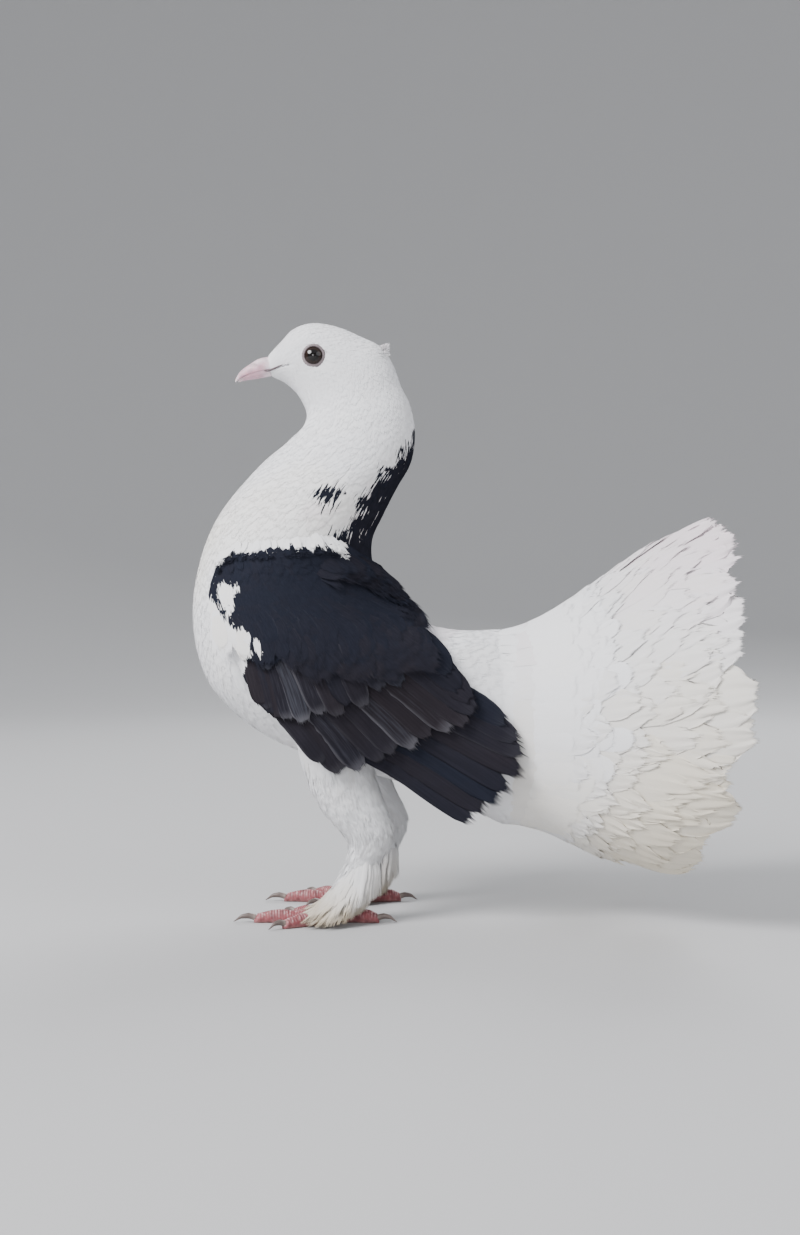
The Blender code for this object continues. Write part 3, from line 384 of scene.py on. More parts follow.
@dataclass
class WingForm(Form):
    """The sheet that a wing's quills lie in. Coordinates: x and z in side view."""

    side: Side = Side.LEFT
    body: BodyForm = field(default_factory=BodyForm)
    stand_off: float = 1.9
    rear_lift: float = 2.4
    rear_from: float = 21.3
    flat_from: float = 16.5
    flat_to: float = 20.0
    low: tuple[float, float] = (-112.0, 30.0)
    high: tuple[float, float] = (46.0, 172.0)
    grid_step: float = 1.0

    def __post_init__(self) -> None:
        """Works out the sheet's depth and slopes on a grid."""
        xs = np.arange(self.low[0], self.high[0] + 0.5, self.grid_step)
        zs = np.arange(self.low[1], self.high[1] + 0.5, self.grid_step)
        x, z = np.meshgrid(xs, zs, indexing="ij")
        depth = self._sheet(x, z)
        for _ in range(3):
            padded = np.pad(depth, 1, mode="edge")
            beside = padded[:-2, 1:-1] + padded[2:, 1:-1] + padded[1:-1, :-2] + padded[1:-1, 2:]
            depth = beside / 8 + depth / 2
        slope_x, slope_z = np.gradient(depth, self.grid_step)
        self._grid = np.stack([depth, slope_x, slope_z], -1)

    def _sheet(self, x: Array, z: Array) -> Array:
        """Distance of the sheet from the middle plane.

        Args:
            x: first coordinate of each point.
            z: height of each point over the floor.

        Returns:
            The distance of each point.
        """
        fine = 8
        places = np.arange(10 * fine, int(self.body.end) * fine + 1) / fine
        rows = curve_rows(self.body.stations, places)
        deep_x, deep_z = rows[:, 2] - rows[:, 0], rows[:, 3] - rows[:, 1]
        sides = deep_x * (z[..., None] - rows[:, 1]) - deep_z * (x[..., None] - rows[:, 0])
        crossed = (sides[..., 1:] >= 0.0) & (sides[..., :-1] < 0.0)
        found = crossed.any(-1)
        k = crossed.argmax(-1)
        before = np.take_along_axis(sides, k[..., None], -1)[..., 0]
        after = np.take_along_axis(sides, k[..., None] + 1, -1)[..., 0]
        place = places[k] + np.where(found, before / np.where(found, before - after, 1.0), 0.0) / fine
        place = np.where(found, place, np.where(sides[..., 0] >= 0.0, places[0], self.body.end))
        rows = curve_rows(self.body.stations, place)
        deep_x, deep_z = rows[..., 2] - rows[..., 0], rows[..., 3] - rows[..., 1]
        half = np.hypot(deep_x, deep_z) / 2
        away_x, away_z = x - (rows[..., 0] + rows[..., 2]) / 2, z - (rows[..., 1] + rows[..., 3]) / 2
        share = away_x * deep_x + away_z * deep_z
        share = share / (2 * half * half)
        rear = smooth((place - self.rear_from) / (self.body.end - self.rear_from))
        reach = rows[..., 4] + self.stand_off + self.rear_lift * rear
        rounded = np.sqrt(np.maximum(1.0 - (share / 1.05) ** 2, 0.03))
        flat = 1.0 - 0.06 * share * share
        settled = smooth((place - self.flat_from) / (self.flat_to - self.flat_from))
        return reach * np.where(share > 0.0, rounded, mix(rounded, flat, settled))

    def point(self, a: Array, b: Array, height: Array) -> Array:
        """Points at a height over the sheet.

        Args:
            a: first coordinate of each point.
            b: second coordinate of each point.
            height: height of each point over the surface, in millimetres.

        Returns:
            One point for each pair of coordinates.
        """
        a, b, height = np.broadcast_arrays(a, b, height)
        u = np.clip((a - self.low[0]) / self.grid_step, 0, self._grid.shape[0] - 1.001)
        v = np.clip((b - self.low[1]) / self.grid_step, 0, self._grid.shape[1] - 1.001)
        i, j = u.astype(int), v.astype(int)
        fu, fv = (u - i)[..., None], (v - j)[..., None]
        lower = mix(self._grid[i, j], self._grid[i + 1, j], fu)
        upper = mix(self._grid[i, j + 1], self._grid[i + 1, j + 1], fu)
        value = mix(lower, upper, fv)
        outward = unit(np.stack([-value[..., 1], -np.ones(a.shape), -value[..., 2]], -1))
        points = np.stack([a, -value[..., 0], b], -1) + outward * height[..., None]
        if self.side is Side.RIGHT:
            points[..., 1] *= -1
        return points


# Feathers


@dataclass(eq=False)
class VaneShape:
    """The mesh pattern of one kind of feather: a grid of rows and columns that ends in fine points."""

    rows: tuple[float, ...]
    widths: tuple[float, ...]
    columns: int
    solid: bool = False
    tip_round: float = 0.12
    tip_narrow: float = 0.85

    def __post_init__(self) -> None:
        """Lays out the pattern's points and faces."""
        across = np.linspace(-1.0, 1.0, self.columns)
        t = np.tile(across, len(self.rows))
        s = np.repeat(self.rows, self.columns)
        s = s - self.tip_round * t * t * (s / self.rows[-1]) ** 3
        width = np.repeat(self.widths, self.columns)
        middle = (across[1:] + across[:-1]) / 2
        layers = 2 if self.solid else 1
        grid, tips = len(s), len(middle)
        self.along = np.concatenate([np.tile(s, layers), 1.0 - self.tip_round * 1.3 * middle**2])
        self.across = np.concatenate([np.tile(t, layers), middle * self.tip_narrow])
        self.width = np.concatenate([np.tile(width, layers), np.full(tips, self.widths[-1])])
        self.layer = np.concatenate([np.repeat(np.arange(layers), grid), np.full(tips, (layers - 1) / 2)])
        self.tips = np.arange(layers * grid, layers * grid + tips)
        cell = np.arange(grid).reshape(-1, self.columns)
        low, high, end = cell[:-1, :-1].ravel(), cell[1:, :-1].ravel(), cell[-1, :-1]
        quads = [np.stack([low, low + 1, high + 1, high], -1)]
        tris = [np.stack([end, end + 1, self.tips], -1)]
        if self.solid:
            path = np.concatenate([cell[::-1, -1], cell[0, ::-1][1:], cell[1:, 0]])
            here, after = path[:-1], path[1:]
            quads += [quads[0][:, ::-1] + grid, np.stack([here, after, after + grid, here + grid], -1)]
            tris += [
                np.stack([self.tips, end + 1 + grid, end + grid], -1),
                np.stack([end, self.tips, end + grid], -1),
                np.stack([end + 1, end + 1 + grid, self.tips], -1),
            ]
        self.quads, self.tris = np.concatenate(quads), np.concatenate(tris)


@dataclass
class Lay:
    """Course of a group of feathers over a form: coordinates at even steps and across each step."""

    a: Array
    b: Array
    across_a: Array
    across_b: Array

    @staticmethod
    def walk(form: Form, a: Array, b: Array, length: Array, yaw: Array, steps: int = 8) -> Lay:
        """Walks over a form from each root along its first coordinate.

        Args:
            form: the surface.
            a: first coordinate of each root.
            b: second coordinate of each root.
            length: length of each feather.
            yaw: turn of each feather from the first coordinate, in radians.
            steps: steps of the walk.

        Returns:
            The lay of the feathers.
        """
        columns = [[], [], [], []]
        cos, sin = np.cos(yaw), np.sin(yaw)
        step = length * OVER / steps
        for _ in range(steps + 1):
            long_a, long_b = (np.maximum(reach, 0.5) for reach in form.stretch(a, b))
            for column, value in zip(columns, (a, b, -sin / long_a, cos / long_b)):
                column.append(value)
            a = a + cos * step / long_a
            b = b + sin * step / long_b
        return Lay(*(np.stack(column, 1) for column in columns))

    @staticmethod
    def sweep(root: Array, along: Array, bend: Array) -> Lay:
        """Lays feathers on a flat sheet along nearly straight courses.

        Args:
            root: place of each root.
            along: way from each root to its tip.
            bend: how far each course strays to its lower side at even steps.

        Returns:
            The lay of the feathers.
        """
        t = np.linspace(0, OVER, bend.shape[1])[:, None]
        down = np.stack([along[:, 1], -along[:, 0]], -1) / np.linalg.norm(along, axis=-1, keepdims=True)
        spots = root[:, None] + along[:, None] * t + down[:, None] * bend[..., None]
        level = np.ones_like(bend)
        return Lay(spots[..., 0], spots[..., 1], down[:, :1] * level, down[:, 1:] * level)

    def at(self, s: Array) -> tuple[Array, ...]:
        """Coordinates and across steps at shares of the length.

        Args:
            s: shares of the length, a row for each feather.

        Returns:
            Both coordinates, and both parts of the step across.
        """
        last = self.a.shape[1] - 1
        place = np.clip(s / OVER * last, 0, last - 1e-6)
        i = place.astype(int)
        found = []
        for rows in (self.a, self.b, self.across_a, self.across_b):
            found.append(mix(np.take_along_axis(rows, i, 1), np.take_along_axis(rows, i + 1, 1), place - i))
        return tuple(found)


@dataclass
class Flock:
    """Sizes and marks of a group of feathers. Each value is one number, or one for each feather."""

    half_width: Array
    chance: Array | float = 0.5
    root_height: Array | float = 0.0
    tip_height: Array | float = 0.0
    ink: Array | float = 0.0
    tint: Array | float = 0.0
    pale: Array | float = 0.0
    tilt: Array | float = 0.0
    camber: Array | float = 0.0
    curl: Array | float = 0.0
    rise: float = 1.0
    thick: float = 0.0
    ragged: float = 0.5
    fray: float = 0.0
    lace: float = 0.0
    frill: Array | float = 0.0
    wave: float = 0.0
    ink_map: Callable[[Array, Array], Array] | None = None


def per_point(value: Array | float) -> Array | float:
    """The value as a column, so that it works on every point of a feather."""
    return value[:, None] if isinstance(value, np.ndarray) else value


@dataclass
class Vanes:
    """Collects feathers of many groups into one mesh."""

    name: str
    points: list[tuple[Array, ...]] = field(default_factory=list)
    quads: list[Array] = field(default_factory=list)
    tris: list[Array] = field(default_factory=list)
    count: int = 0

    def add(self, quads: Array, tris: Array, *columns: Array) -> None:
        """Adds points and faces.

        Args:
            quads: faces of four corners.
            tris: faces of three corners.
            columns: each point's millimetres, its vane values, its marks and its place on the bake map.
        """
        self.quads.append(quads + self.count)
        self.tris.append(tris + self.count)
        self.points.append(columns)
        self.count += len(columns[0])

    def grow(
        self, form: Form, lay: Lay, shape: VaneShape, flock: Flock, bake: Array, seed: int,
        patch: tuple[float, float] = (BAKE_PATCH, BAKE_PATCH),
    ) -> None:
        """Grows a group of feathers on a form.

        Args:
            form: the surface that they lie on.
            lay: their course over it.
            shape: their mesh pattern.
            flock: their sizes and marks.
            bake: place of each root on the bake map.
            seed: seed of the fraying.
            patch: width and height of each feather's patch on the bake map.
        """
        draw = np.random.default_rng(seed)
        number = len(flock.half_width)

        def phase() -> Array:
            """A random start of a wave for each feather."""
            return draw.uniform(0, 6.28, (number, 1))

        s, t = (np.repeat(share[None], number, 0) for share in (shape.along, shape.across))
        ragged = draw.uniform(-1.0, 1.0, (number, len(shape.tips)))
        s[:, shape.tips] += ragged * flock.ragged * (1.0 - shape.rows[-1])
        t[:, shape.tips] += draw.uniform(-1.0, 1.0, ragged.shape) * flock.ragged * 0.5 / shape.columns
        loose = smooth((s - 0.72) / 0.28)
        if flock.lace:
            for turns in (1.7, 3.4, 5.9, 9.3):
                s = s + flock.lace / turns * loose * np.sin(turns * math.pi * t + phase())
        width = shape.width[None] * np.ones((number, 1))
        if flock.fray:
            edge = np.abs(shape.across[None]) > 0.99
            width = width * (1.0 - edge * flock.fray * draw.uniform(0.0, 1.0, s.shape) ** 2)
        if flock.wave:
            start = phase() + 1.9 * (shape.across[None] > 0)
            swing = np.sin(8.0 * s + start) + 0.6 * np.sin(19.0 * s + 2.3 * start)
            width = width * (1.0 + flock.wave * swing)
        waves = np.sin(3.1 * math.pi * t + phase()) + 0.6 * np.sin(7.3 * math.pi * t + phase())
        height = (
            mix(per_point(flock.root_height), per_point(flock.tip_height), np.clip(s, 0, 2) ** flock.rise)
            + per_point(flock.tilt) * t * width
            - per_point(flock.camber) * t * t * width
            + per_point(flock.curl) * np.clip(s - 0.6, 0, 1) ** 2 * 6.0
            + per_point(flock.frill) * loose * waves
            - flock.thick * shape.layer[None] * (1.0 - 0.6 * np.clip(s, 0, 1))
        )
        a, b, across_a, across_b = lay.at(s)
        side = t * width * flock.half_width[:, None]
        a, b = a + across_a * side, b + across_b * side
        ink = flock.ink_map(a, b) if flock.ink_map else per_point(flock.ink)
        self._take(form.point(a, b, height), (s, t, ink), shape, flock, bake, patch)

    def _take(
        self, points: Array, values: tuple[Array, ...], shape: VaneShape, flock: Flock, bake: Array,
        patch: tuple[float, float],
    ) -> None:
        """Adds finished feathers to the mesh.

        Args:
            points: points of each feather.
            values: share along, share across and ink of each point.
            shape: their mesh pattern.
            flock: their other marks.
            bake: place of each root on the bake map.
            patch: width and height of each feather's patch there.
        """
        s, t, ink = values
        number, each = s.shape
        start = (np.arange(number) * each)[:, None, None]
        vane, marks = (
            np.stack([np.broadcast_to(value, s.shape) for value in row], -1).reshape(-1, 3)
            for row in ((s, t, per_point(flock.chance)), (ink, per_point(flock.tint), per_point(flock.pale)))
        )
        uv = np.stack([t * 0.5, s - 0.5], -1) * np.array(patch) + bake[:, None, :]
        faces = [
            (corners[None] + start).reshape(-1, corners.shape[1])
            for corners in (shape.quads, shape.tris)
        ]
        self.add(*faces, points.reshape(-1, 3), vane, marks, uv.reshape(-1, 2))

    def grow_free(
        self, centres: Array, across: Array, outward: Array, shape: VaneShape, flock: Flock, bake: Array,
        seed: int,
    ) -> None:
        """Grows feathers along free courses.

        Args:
            centres: points of each course at even steps.
            across: direction across each step.
            outward: direction out of each step.
            shape: mesh pattern.
            flock: sizes and marks.
            bake: place of each root on the bake map.
            seed: seed of the fraying.
        """
        draw = np.random.default_rng(seed)
        number, steps = centres.shape[:2]
        s, t = (np.repeat(share[None], number, 0) for share in (shape.along, shape.across))
        ragged = draw.uniform(-1, 1, (number, len(shape.tips)))
        s[:, shape.tips] += ragged * flock.ragged * (1.0 - shape.rows[-1])
        place = np.clip(s, 0, 1.0 - 1e-6) * (steps - 1)
        i = place.astype(int)
        each = np.arange(number)[:, None]
        centre, sideways, out = (
            mix(rows[each, i], rows[each, np.minimum(i + 1, steps - 1)], (place - i)[..., None])
            for rows in (centres, across, outward)
        )
        side = t * shape.width[None] * flock.half_width[:, None]
        height = -per_point(flock.camber) * t * t - flock.thick * shape.layer[None]
        points = centre + sideways * side[..., None] + out * height[..., None]
        self._take(points, (s, t, per_point(flock.ink)), shape, flock, bake, (BAKE_PATCH, BAKE_PATCH))

    def build(self) -> bpy.types.Object:
        """Makes the object with its marks and bake map.

        Returns:
            The object.
        """
        points, vane, marks, uv = (np.concatenate(column) for column in zip(*self.points))
        made = mesh_object(self.name, points, np.concatenate(self.quads), np.concatenate(self.tris))
        write_marks(made.data, vane, marks)
        corners = np.zeros(len(made.data.loops), np.int32)
        made.data.loops.foreach_get("vertex_index", corners)
        write_chart(made.data, uv[corners])
        return made


def bent(root: Array, middle: Array, tip: Array, steps: int) -> Array:
    """Points at even steps on a curve from each root past its middle to its tip."""
    t = np.linspace(0, 1, steps)[None, :, None]
    return (1 - t) ** 2 * root[:, None] + 2 * t * (1 - t) * middle[:, None] + t * t * tip[:, None]


def mesh_object(name: str, points: Array, quads: Array, tris: Array) -> bpy.types.Object:
    """An object from arrays of points and faces, smooth shaded.

    Args:
        name: the object's name.
        points: points in the bird's millimetres.
        quads: faces of four corners.
        tris: faces of three corners.

    Returns:
        The object, linked to the scene.
    """
    mesh = bpy.data.meshes.new(name)
    placed = (points - np.array([MIDDLE_X, 0.0, 0.0])) * MM
    mesh.vertices.add(len(placed))
    mesh.vertices.foreach_set("co", placed.astype(np.float32).ravel())
    corners = np.concatenate([quads.ravel(), tris.ravel()]).astype(np.int32)
    sizes = np.repeat([4, 3], [len(quads), len(tris)])
    mesh.loops.add(len(corners))
    mesh.loops.foreach_set("vertex_index", corners)
    mesh.polygons.add(len(sizes))
    mesh.polygons.foreach_set("loop_start", (np.cumsum(sizes) - sizes).astype(np.int32))
    mesh.polygons.foreach_set("use_smooth", np.ones(len(sizes), bool))
    mesh.update(calc_edges=True)
    mesh.validate()
    made = bpy.data.objects.new(name, mesh)
    bpy.context.scene.collection.objects.link(made)
    return made


def write_marks(mesh: bpy.types.Mesh, vane: Array, marks: Array) -> None:
    """Writes the vane values and the marks of each point."""
    for name, values in (("vane", vane), ("marks", marks)):
        layer = mesh.attributes.new(name, "FLOAT_VECTOR", "POINT")
        layer.data.foreach_set("vector", values.astype(np.float32).ravel())


def write_chart(mesh: bpy.types.Mesh, uv: Array) -> None:
    """Writes the place of each corner on the bake map."""
    chart = mesh.uv_layers.new(name=BAKE_MAP)
    chart.data.foreach_set("uv", np.clip(uv, 0.0, 1.0).astype(np.float32).ravel())


def scatter(
    form: Form, a_range: tuple[float, float], b_range: tuple[float, float],
    spacing: Callable[[Array, Array], Array], seed: int, cells: int = 160,
) -> tuple[Array, Array]:
    """Roots spread evenly over a form.

    Args:
        form: the surface.
        a_range: span of its first coordinate.
        b_range: span of its second coordinate.
        spacing: function from the coordinates to the distance between roots.
        seed: seed of the draw.
        cells: cells of the density grid each way.

    Returns:
        First and second coordinates of the roots.
    """
    draw = np.random.default_rng(seed)
    step_a = (a_range[1] - a_range[0]) / cells
    step_b = (b_range[1] - b_range[0]) / cells
    middle = np.arange(cells) + 0.5
    a, b = np.meshgrid(a_range[0] + middle * step_a, b_range[0] + middle * step_b, indexing="ij")
    a, b = a.ravel(), b.ravel()
    long_a, long_b = form.stretch(a, b)
    weight = long_a * long_b * step_a * step_b / spacing(a, b) ** 2
    total = int(weight.sum() * 7)
    cell = draw.choice(len(a), total, p=weight / weight.sum())
    a = a[cell] + draw.uniform(-0.5, 0.5, total) * step_a
    b = b[cell] + draw.uniform(-0.5, 0.5, total) * step_b
    spots = form.point(a, b, np.zeros(total))
    reach = spacing(a, b) * 0.82
    tree = KDTree(total)
    for i, spot in enumerate(spots):
        tree.insert(spot, i)
    tree.balance()
    alive = bytearray(b"\x01") * total
    kept = []
    for i in range(total):
        if alive[i]:
            kept.append(i)
            for _, j, _ in tree.find_range(spots[i], reach[i]):
                alive[j] = 0
    return a[kept], b[kept]


# Finishes


class Nodes:
    """A short way to build a node tree."""

    def __init__(self, tree: bpy.types.NodeTree) -> None:
        """Starts on a tree."""
        self.tree = tree

    def new(self, kind: str, **values: object) -> bpy.types.Node:
        """Adds a node and sets its properties.

        Args:
            kind: type of the node.
            values: values of its properties.

        Returns:
            The node.
        """
        node = self.tree.nodes.new(kind)
        for name, value in values.items():
            setattr(node, name, value)
        return node

    def wire(self, source: object, target: Socket) -> None:
        """Links a socket to an input, or sets a plain value on it."""
        if isinstance(source, Socket):
            self.tree.links.new(source, target)
        else:
            target.default_value = source

    def node(self, kind: str, sources: tuple, **values: object) -> bpy.types.Node:
        """Adds a node, sets its properties and wires its first inputs.

        Args:
            kind: type of the node.
            sources: sockets or numbers for its first inputs, in order.
            values: values of its properties.

        Returns:
            The node.
        """
        node = self.new(kind, **values)
        for source, socket in zip(sources, node.inputs):
            self.wire(source, socket)
        return node

    def math(self, operation: str, a: object, b: object, clamp: bool = False) -> Socket:
        """A maths node of two values."""
        return self.node("ShaderNodeMath", (a, b), operation=operation, use_clamp=clamp).outputs[0]

    def times(self, a: object, b: object) -> Socket:
        """The product of two values."""
        return self.math("MULTIPLY", a, b)

    def plus(self, a: object, b: object, clamp: bool = False) -> Socket:
        """The sum of two values."""
        return self.math("ADD", a, b, clamp)

    def minus(self, a: object, b: object) -> Socket:
        """The difference of two values."""
        return self.math("SUBTRACT", a, b)

    def span(self, value: object, low: float, high: float, start: float = 0.0, end: float = 1.0) -> Socket:
        """A smooth step of the value between two limits."""
        sources = (value, low, high, start, end)
        return self.node("ShaderNodeMapRange", sources, interpolation_type="SMOOTHSTEP").outputs[0]

    def blend(self, share: object, a: object, b: object, way: str = "MIX") -> Socket:
        """A mix of two colours, each a socket or three numbers.

        Args:
            share: share of the second colour.
            a: first colour.
            b: second colour.
            way: how the colours are mixed.

        Returns:
            The mixed colour.
        """
        node = self.new("ShaderNodeMix", data_type="RGBA", blend_type=way)
        for source, index in ((share, 0), (a, 6), (b, 7)):
            self.wire((*source, 1) if isinstance(source, tuple) else source, node.inputs[index])
        return node.outputs[2]

    def shaded(self, colour: Socket, shade: Socket) -> Socket:
        """A colour times a brightness."""
        return self.blend(1.0, colour, self.vector(shade, shade, shade), "MULTIPLY")

    def parts(self, attribute: str) -> list[Socket]:
        """The three values of a mesh attribute."""
        source = self.new("ShaderNodeAttribute", attribute_name=attribute)
        return list(self.node("ShaderNodeSeparateXYZ", (source.outputs["Vector"],)).outputs)

    def noise(self, vector: object, scale: float, detail: float = 2.0) -> Socket:
        """A noise value over a vector.

        Args:
            vector: place of each point.
            scale: fineness of the noise.
            detail: number of finer layers.

        Returns:
            The value of the noise.
        """
        node = self.new("ShaderNodeTexNoise")
        for source, label in ((vector, "Vector"), (scale, "Scale"), (detail, "Detail")):
            self.wire(source, node.inputs[label])
        return node.outputs["Fac"]

    def vector(self, x: object, y: object, z: object) -> Socket:
        """A vector of three values."""
        return self.node("ShaderNodeCombineXYZ", (x, y, z)).outputs[0]

    def place(self) -> Socket:
        """Place in the object, in metres."""
        return self.new("ShaderNodeTexCoord").outputs["Object"]

    def bump(self, height: Socket, strength: float, distance: float) -> Socket:
        """A surface raised by a height.

        Args:
            height: the height.
            strength: strength of the bump.
            distance: height of the bump.

        Returns:
            The bent normal.
        """
        node = self.new("ShaderNodeBump")
        for source, label in ((height, "Height"), (strength, "Strength"), (distance, "Distance")):
            self.wire(source, node.inputs[label])
        return node.outputs[0]


def new_material(name: str) -> tuple[bpy.types.Material, Nodes, bpy.types.NodeInputs]:
    """A new material.

    Args:
        name: the material's name.

    Returns:
        The material, its node builder and the inputs of its shader.
    """
    made = bpy.data.materials.new(name)
    made.use_nodes = True
    return made, Nodes(made.node_tree), made.node_tree.nodes["Principled BSDF"].inputs


def barb_group() -> bpy.types.NodeTree:
    """The group of a feather's barbs: fine slanting lines, loose streaks and the shaft.

    Returns:
        The node group.
    """
    tree = bpy.data.node_groups.new("feather barbs", "ShaderNodeTree")
    for label, value in {"Along": 0.5, "Across": 0.0, "Chance": 0.0, "Lines": 40.0}.items():
        socket = tree.interface.new_socket(name=label, in_out="INPUT", socket_type="NodeSocketFloat")
        socket.default_value = value
    for label in ("Streak", "Height", "Hair", "Edge"):
        tree.interface.new_socket(name=label, in_out="OUTPUT", socket_type="NodeSocketFloat")
    n = Nodes(tree)
    along, across, chance, lines = list(n.new("NodeGroupInput").outputs)[:4]
    out = n.new("NodeGroupOutput").inputs
    away = n.math("ABSOLUTE", across, 0.0)
    slant = n.minus(n.times(along, 2.2), away)
    wave = n.math("SINE", n.times(slant, n.times(lines, 6.28)), 0.0)
    seed = n.times(chance, 91.0)
    streak = n.noise(n.vector(n.times(slant, 2.5), n.times(across, 6.0), seed), 1.0, 3.0)
    loose = n.noise(n.vector(n.times(along, 1.2), n.times(across, 9.0), seed), 1.0)
    shaft = n.span(away, 0.03, 0.09, 1.0, 0.0)
    n.wire(n.times(n.plus(streak, loose), 0.5), out["Streak"])
    n.wire(n.plus(n.plus(n.times(wave, 0.35), streak), n.times(shaft, 1.2)), out["Height"])
    n.wire(n.noise(n.vector(n.times(along, 0.7), n.times(across, 3.6), seed), 1.0, 3.0), out["Hair"])
    n.wire(n.math("MAXIMUM", n.span(away, 0.72, 1.0), n.span(along, 0.86, 1.0)), out["Edge"])
    return tree


@dataclass(frozen=True)
class Plumage:
    """Finish of feathers: white to cream by tint, ink by streaks, pale fringes."""

    name: str
    white: Triple = (0.86, 0.865, 0.885)
    cream: Triple = (0.84, 0.775, 0.62)
    ink: Triple = (0.0155, 0.0175, 0.0262)
    ink_brown: Triple = (0.0240, 0.0205, 0.0245)
    fringe: Triple = (0.115, 0.113, 0.128)
    ash: Triple = (0.062, 0.066, 0.082)
    blush: Triple = (0.80, 0.70, 0.745)
    roughness: float = 0.62
    bump: float = 0.06
    lines: float = 22.0
    blotch: float = 0.06
    tip_tint: float = 0.0

    def make(self, barbs: bpy.types.NodeTree) -> bpy.types.Material:
        """Builds the material.

        Args:
            barbs: the group of a feather's barbs.

        Returns:
            The material.
        """
        made, n, shader = new_material(self.name)
        along, across, chance = n.parts("vane")
        ink, tint, pale = n.parts("marks")
        group = n.node("ShaderNodeGroup", (along, across, chance, self.lines), node_tree=barbs)
        streak, height, hair, edge = group.outputs
        soft = n.times(n.minus(n.noise(n.place(), 60.0, 3.0), 0.5), self.blotch * 4)
        toward = n.plus(1.0 - self.tip_tint, n.times(n.span(along, 0.2, 0.95), self.tip_tint))
        pure = n.blend(n.plus(n.times(tint, toward), soft, clamp=True), self.white, self.cream)
        pure = n.blend(n.times(pale, toward), pure, self.blush)
        pure = n.shaded(pure, n.span(streak, 0.25, 0.75, 0.975, 1.01))
        dark = n.blend(n.plus(pale, n.times(soft, 1.5), clamp=True), self.ink, self.ink_brown)
        dark = n.shaded(dark, n.span(streak, 0.2, 0.8, 0.82, 1.25))
        rubbed = n.plus(tint, n.times(n.minus(streak, 0.5), 1.3))
        dark = n.blend(n.span(rubbed, 0.55, 1.1, 0.0, 0.8), dark, self.ash)
        rim = n.times(edge, n.span(n.plus(tint, n.times(streak, 0.35)), 0.3, 1.1))
        dark = n.blend(rim, dark, self.fringe)
        unsure = n.math("MINIMUM", n.times(n.times(ink, n.minus(1.0, ink)), 9.0), 2.4)
        mask = n.span(n.plus(ink, n.times(n.minus(hair, 0.5), unsure)), 0.43, 0.57)
        n.wire(n.blend(mask, pure, dark), shader["Base Color"])
        n.wire(n.minus(self.roughness, n.times(mask, 0.12)), shader["Roughness"])
        n.wire(0.0, shader["Specular IOR Level"])
        n.wire(n.bump(height, self.bump, 0.0002), shader["Normal"])
        return made


@dataclass(frozen=True)
class Horn:
    """Finish of bill, eye ring, toes and claws: three colours and a dark one by mark, waxy."""

    name: str
    base: Triple
    second: Triple
    third: Triple
    dark: Triple
    roughness: float
    grain: float = 400.0
    subsurface: float = 0.0

    def make(self) -> bpy.types.Material:
        """Builds the material.

        Returns:
            The material.
        """
        made, n, shader = new_material(self.name)
        first, second, dark = n.parts("marks")
        grain = n.noise(n.place(), self.grain, 4.0)
        colour = n.blend(second, n.blend(first, self.base, self.second), self.third)
        colour = n.blend(dark, n.shaded(colour, n.span(grain, 0.3, 0.7, 0.86, 1.1)), self.dark)
        n.wire(colour, shader["Base Color"])
        n.wire(n.span(grain, 0.2, 0.8, self.roughness - 0.06, self.roughness + 0.1), shader["Roughness"])
        n.wire(self.subsurface, shader["Subsurface Weight"])
        n.wire((0.002, 0.0008, 0.0005), shader["Subsurface Radius"])
        n.wire(n.bump(grain, 0.3, 0.0001), shader["Normal"])
        return made


@dataclass(frozen=True)
class EyeGloss:
    """Finish of the dark eye: a black pupil in a very dark brown iris under a wet surface."""

    name: str = "dark eye"
    pupil: Triple = (0.004, 0.003, 0.003)
    iris: Triple = (0.010, 0.005, 0.004)
    iris_light: Triple = (0.026, 0.012, 0.008)
    rim: Triple = (0.007, 0.005, 0.005)

    def make(self) -> bpy.types.Material:
        """Builds the material.

        Returns:
            The material.
        """
        made, n, shader = new_material(self.name)
        radius, around, _ = n.parts("vane")
        rays = n.noise(n.vector(n.times(around, 9.0), n.times(radius, 2.0), 0.0), 2.0, 3.0)
        iris = n.blend(n.span(rays, 0.3, 0.75), self.iris, self.iris_light)
        colour = n.blend(n.span(radius, 0.40, 0.46), self.pupil, iris)
        n.wire(n.blend(n.span(radius, 0.60, 0.72), colour, self.rim), shader["Base Color"])
        n.wire(0.12, shader["Roughness"])
        n.wire(0.3, shader["Specular IOR Level"])
        n.wire(0.35, shader["Coat Weight"])
        n.wire(0.02, shader["Coat Roughness"])
        return made


@dataclass(frozen=True)
class Ground:
    """Finish of the plain floor."""

    name: str = "pale floor"
    colour: Triple = (0.47, 0.47, 0.475)
    roughness: float = 0.85

    def make(self) -> bpy.types.Material:
        """Builds the material.

        Returns:
            The material.
        """
        made, n, shader = new_material(self.name)
        n.wire((*self.colour, 1), shader["Base Color"])
        n.wire(self.roughness, shader["Roughness"])
        return made


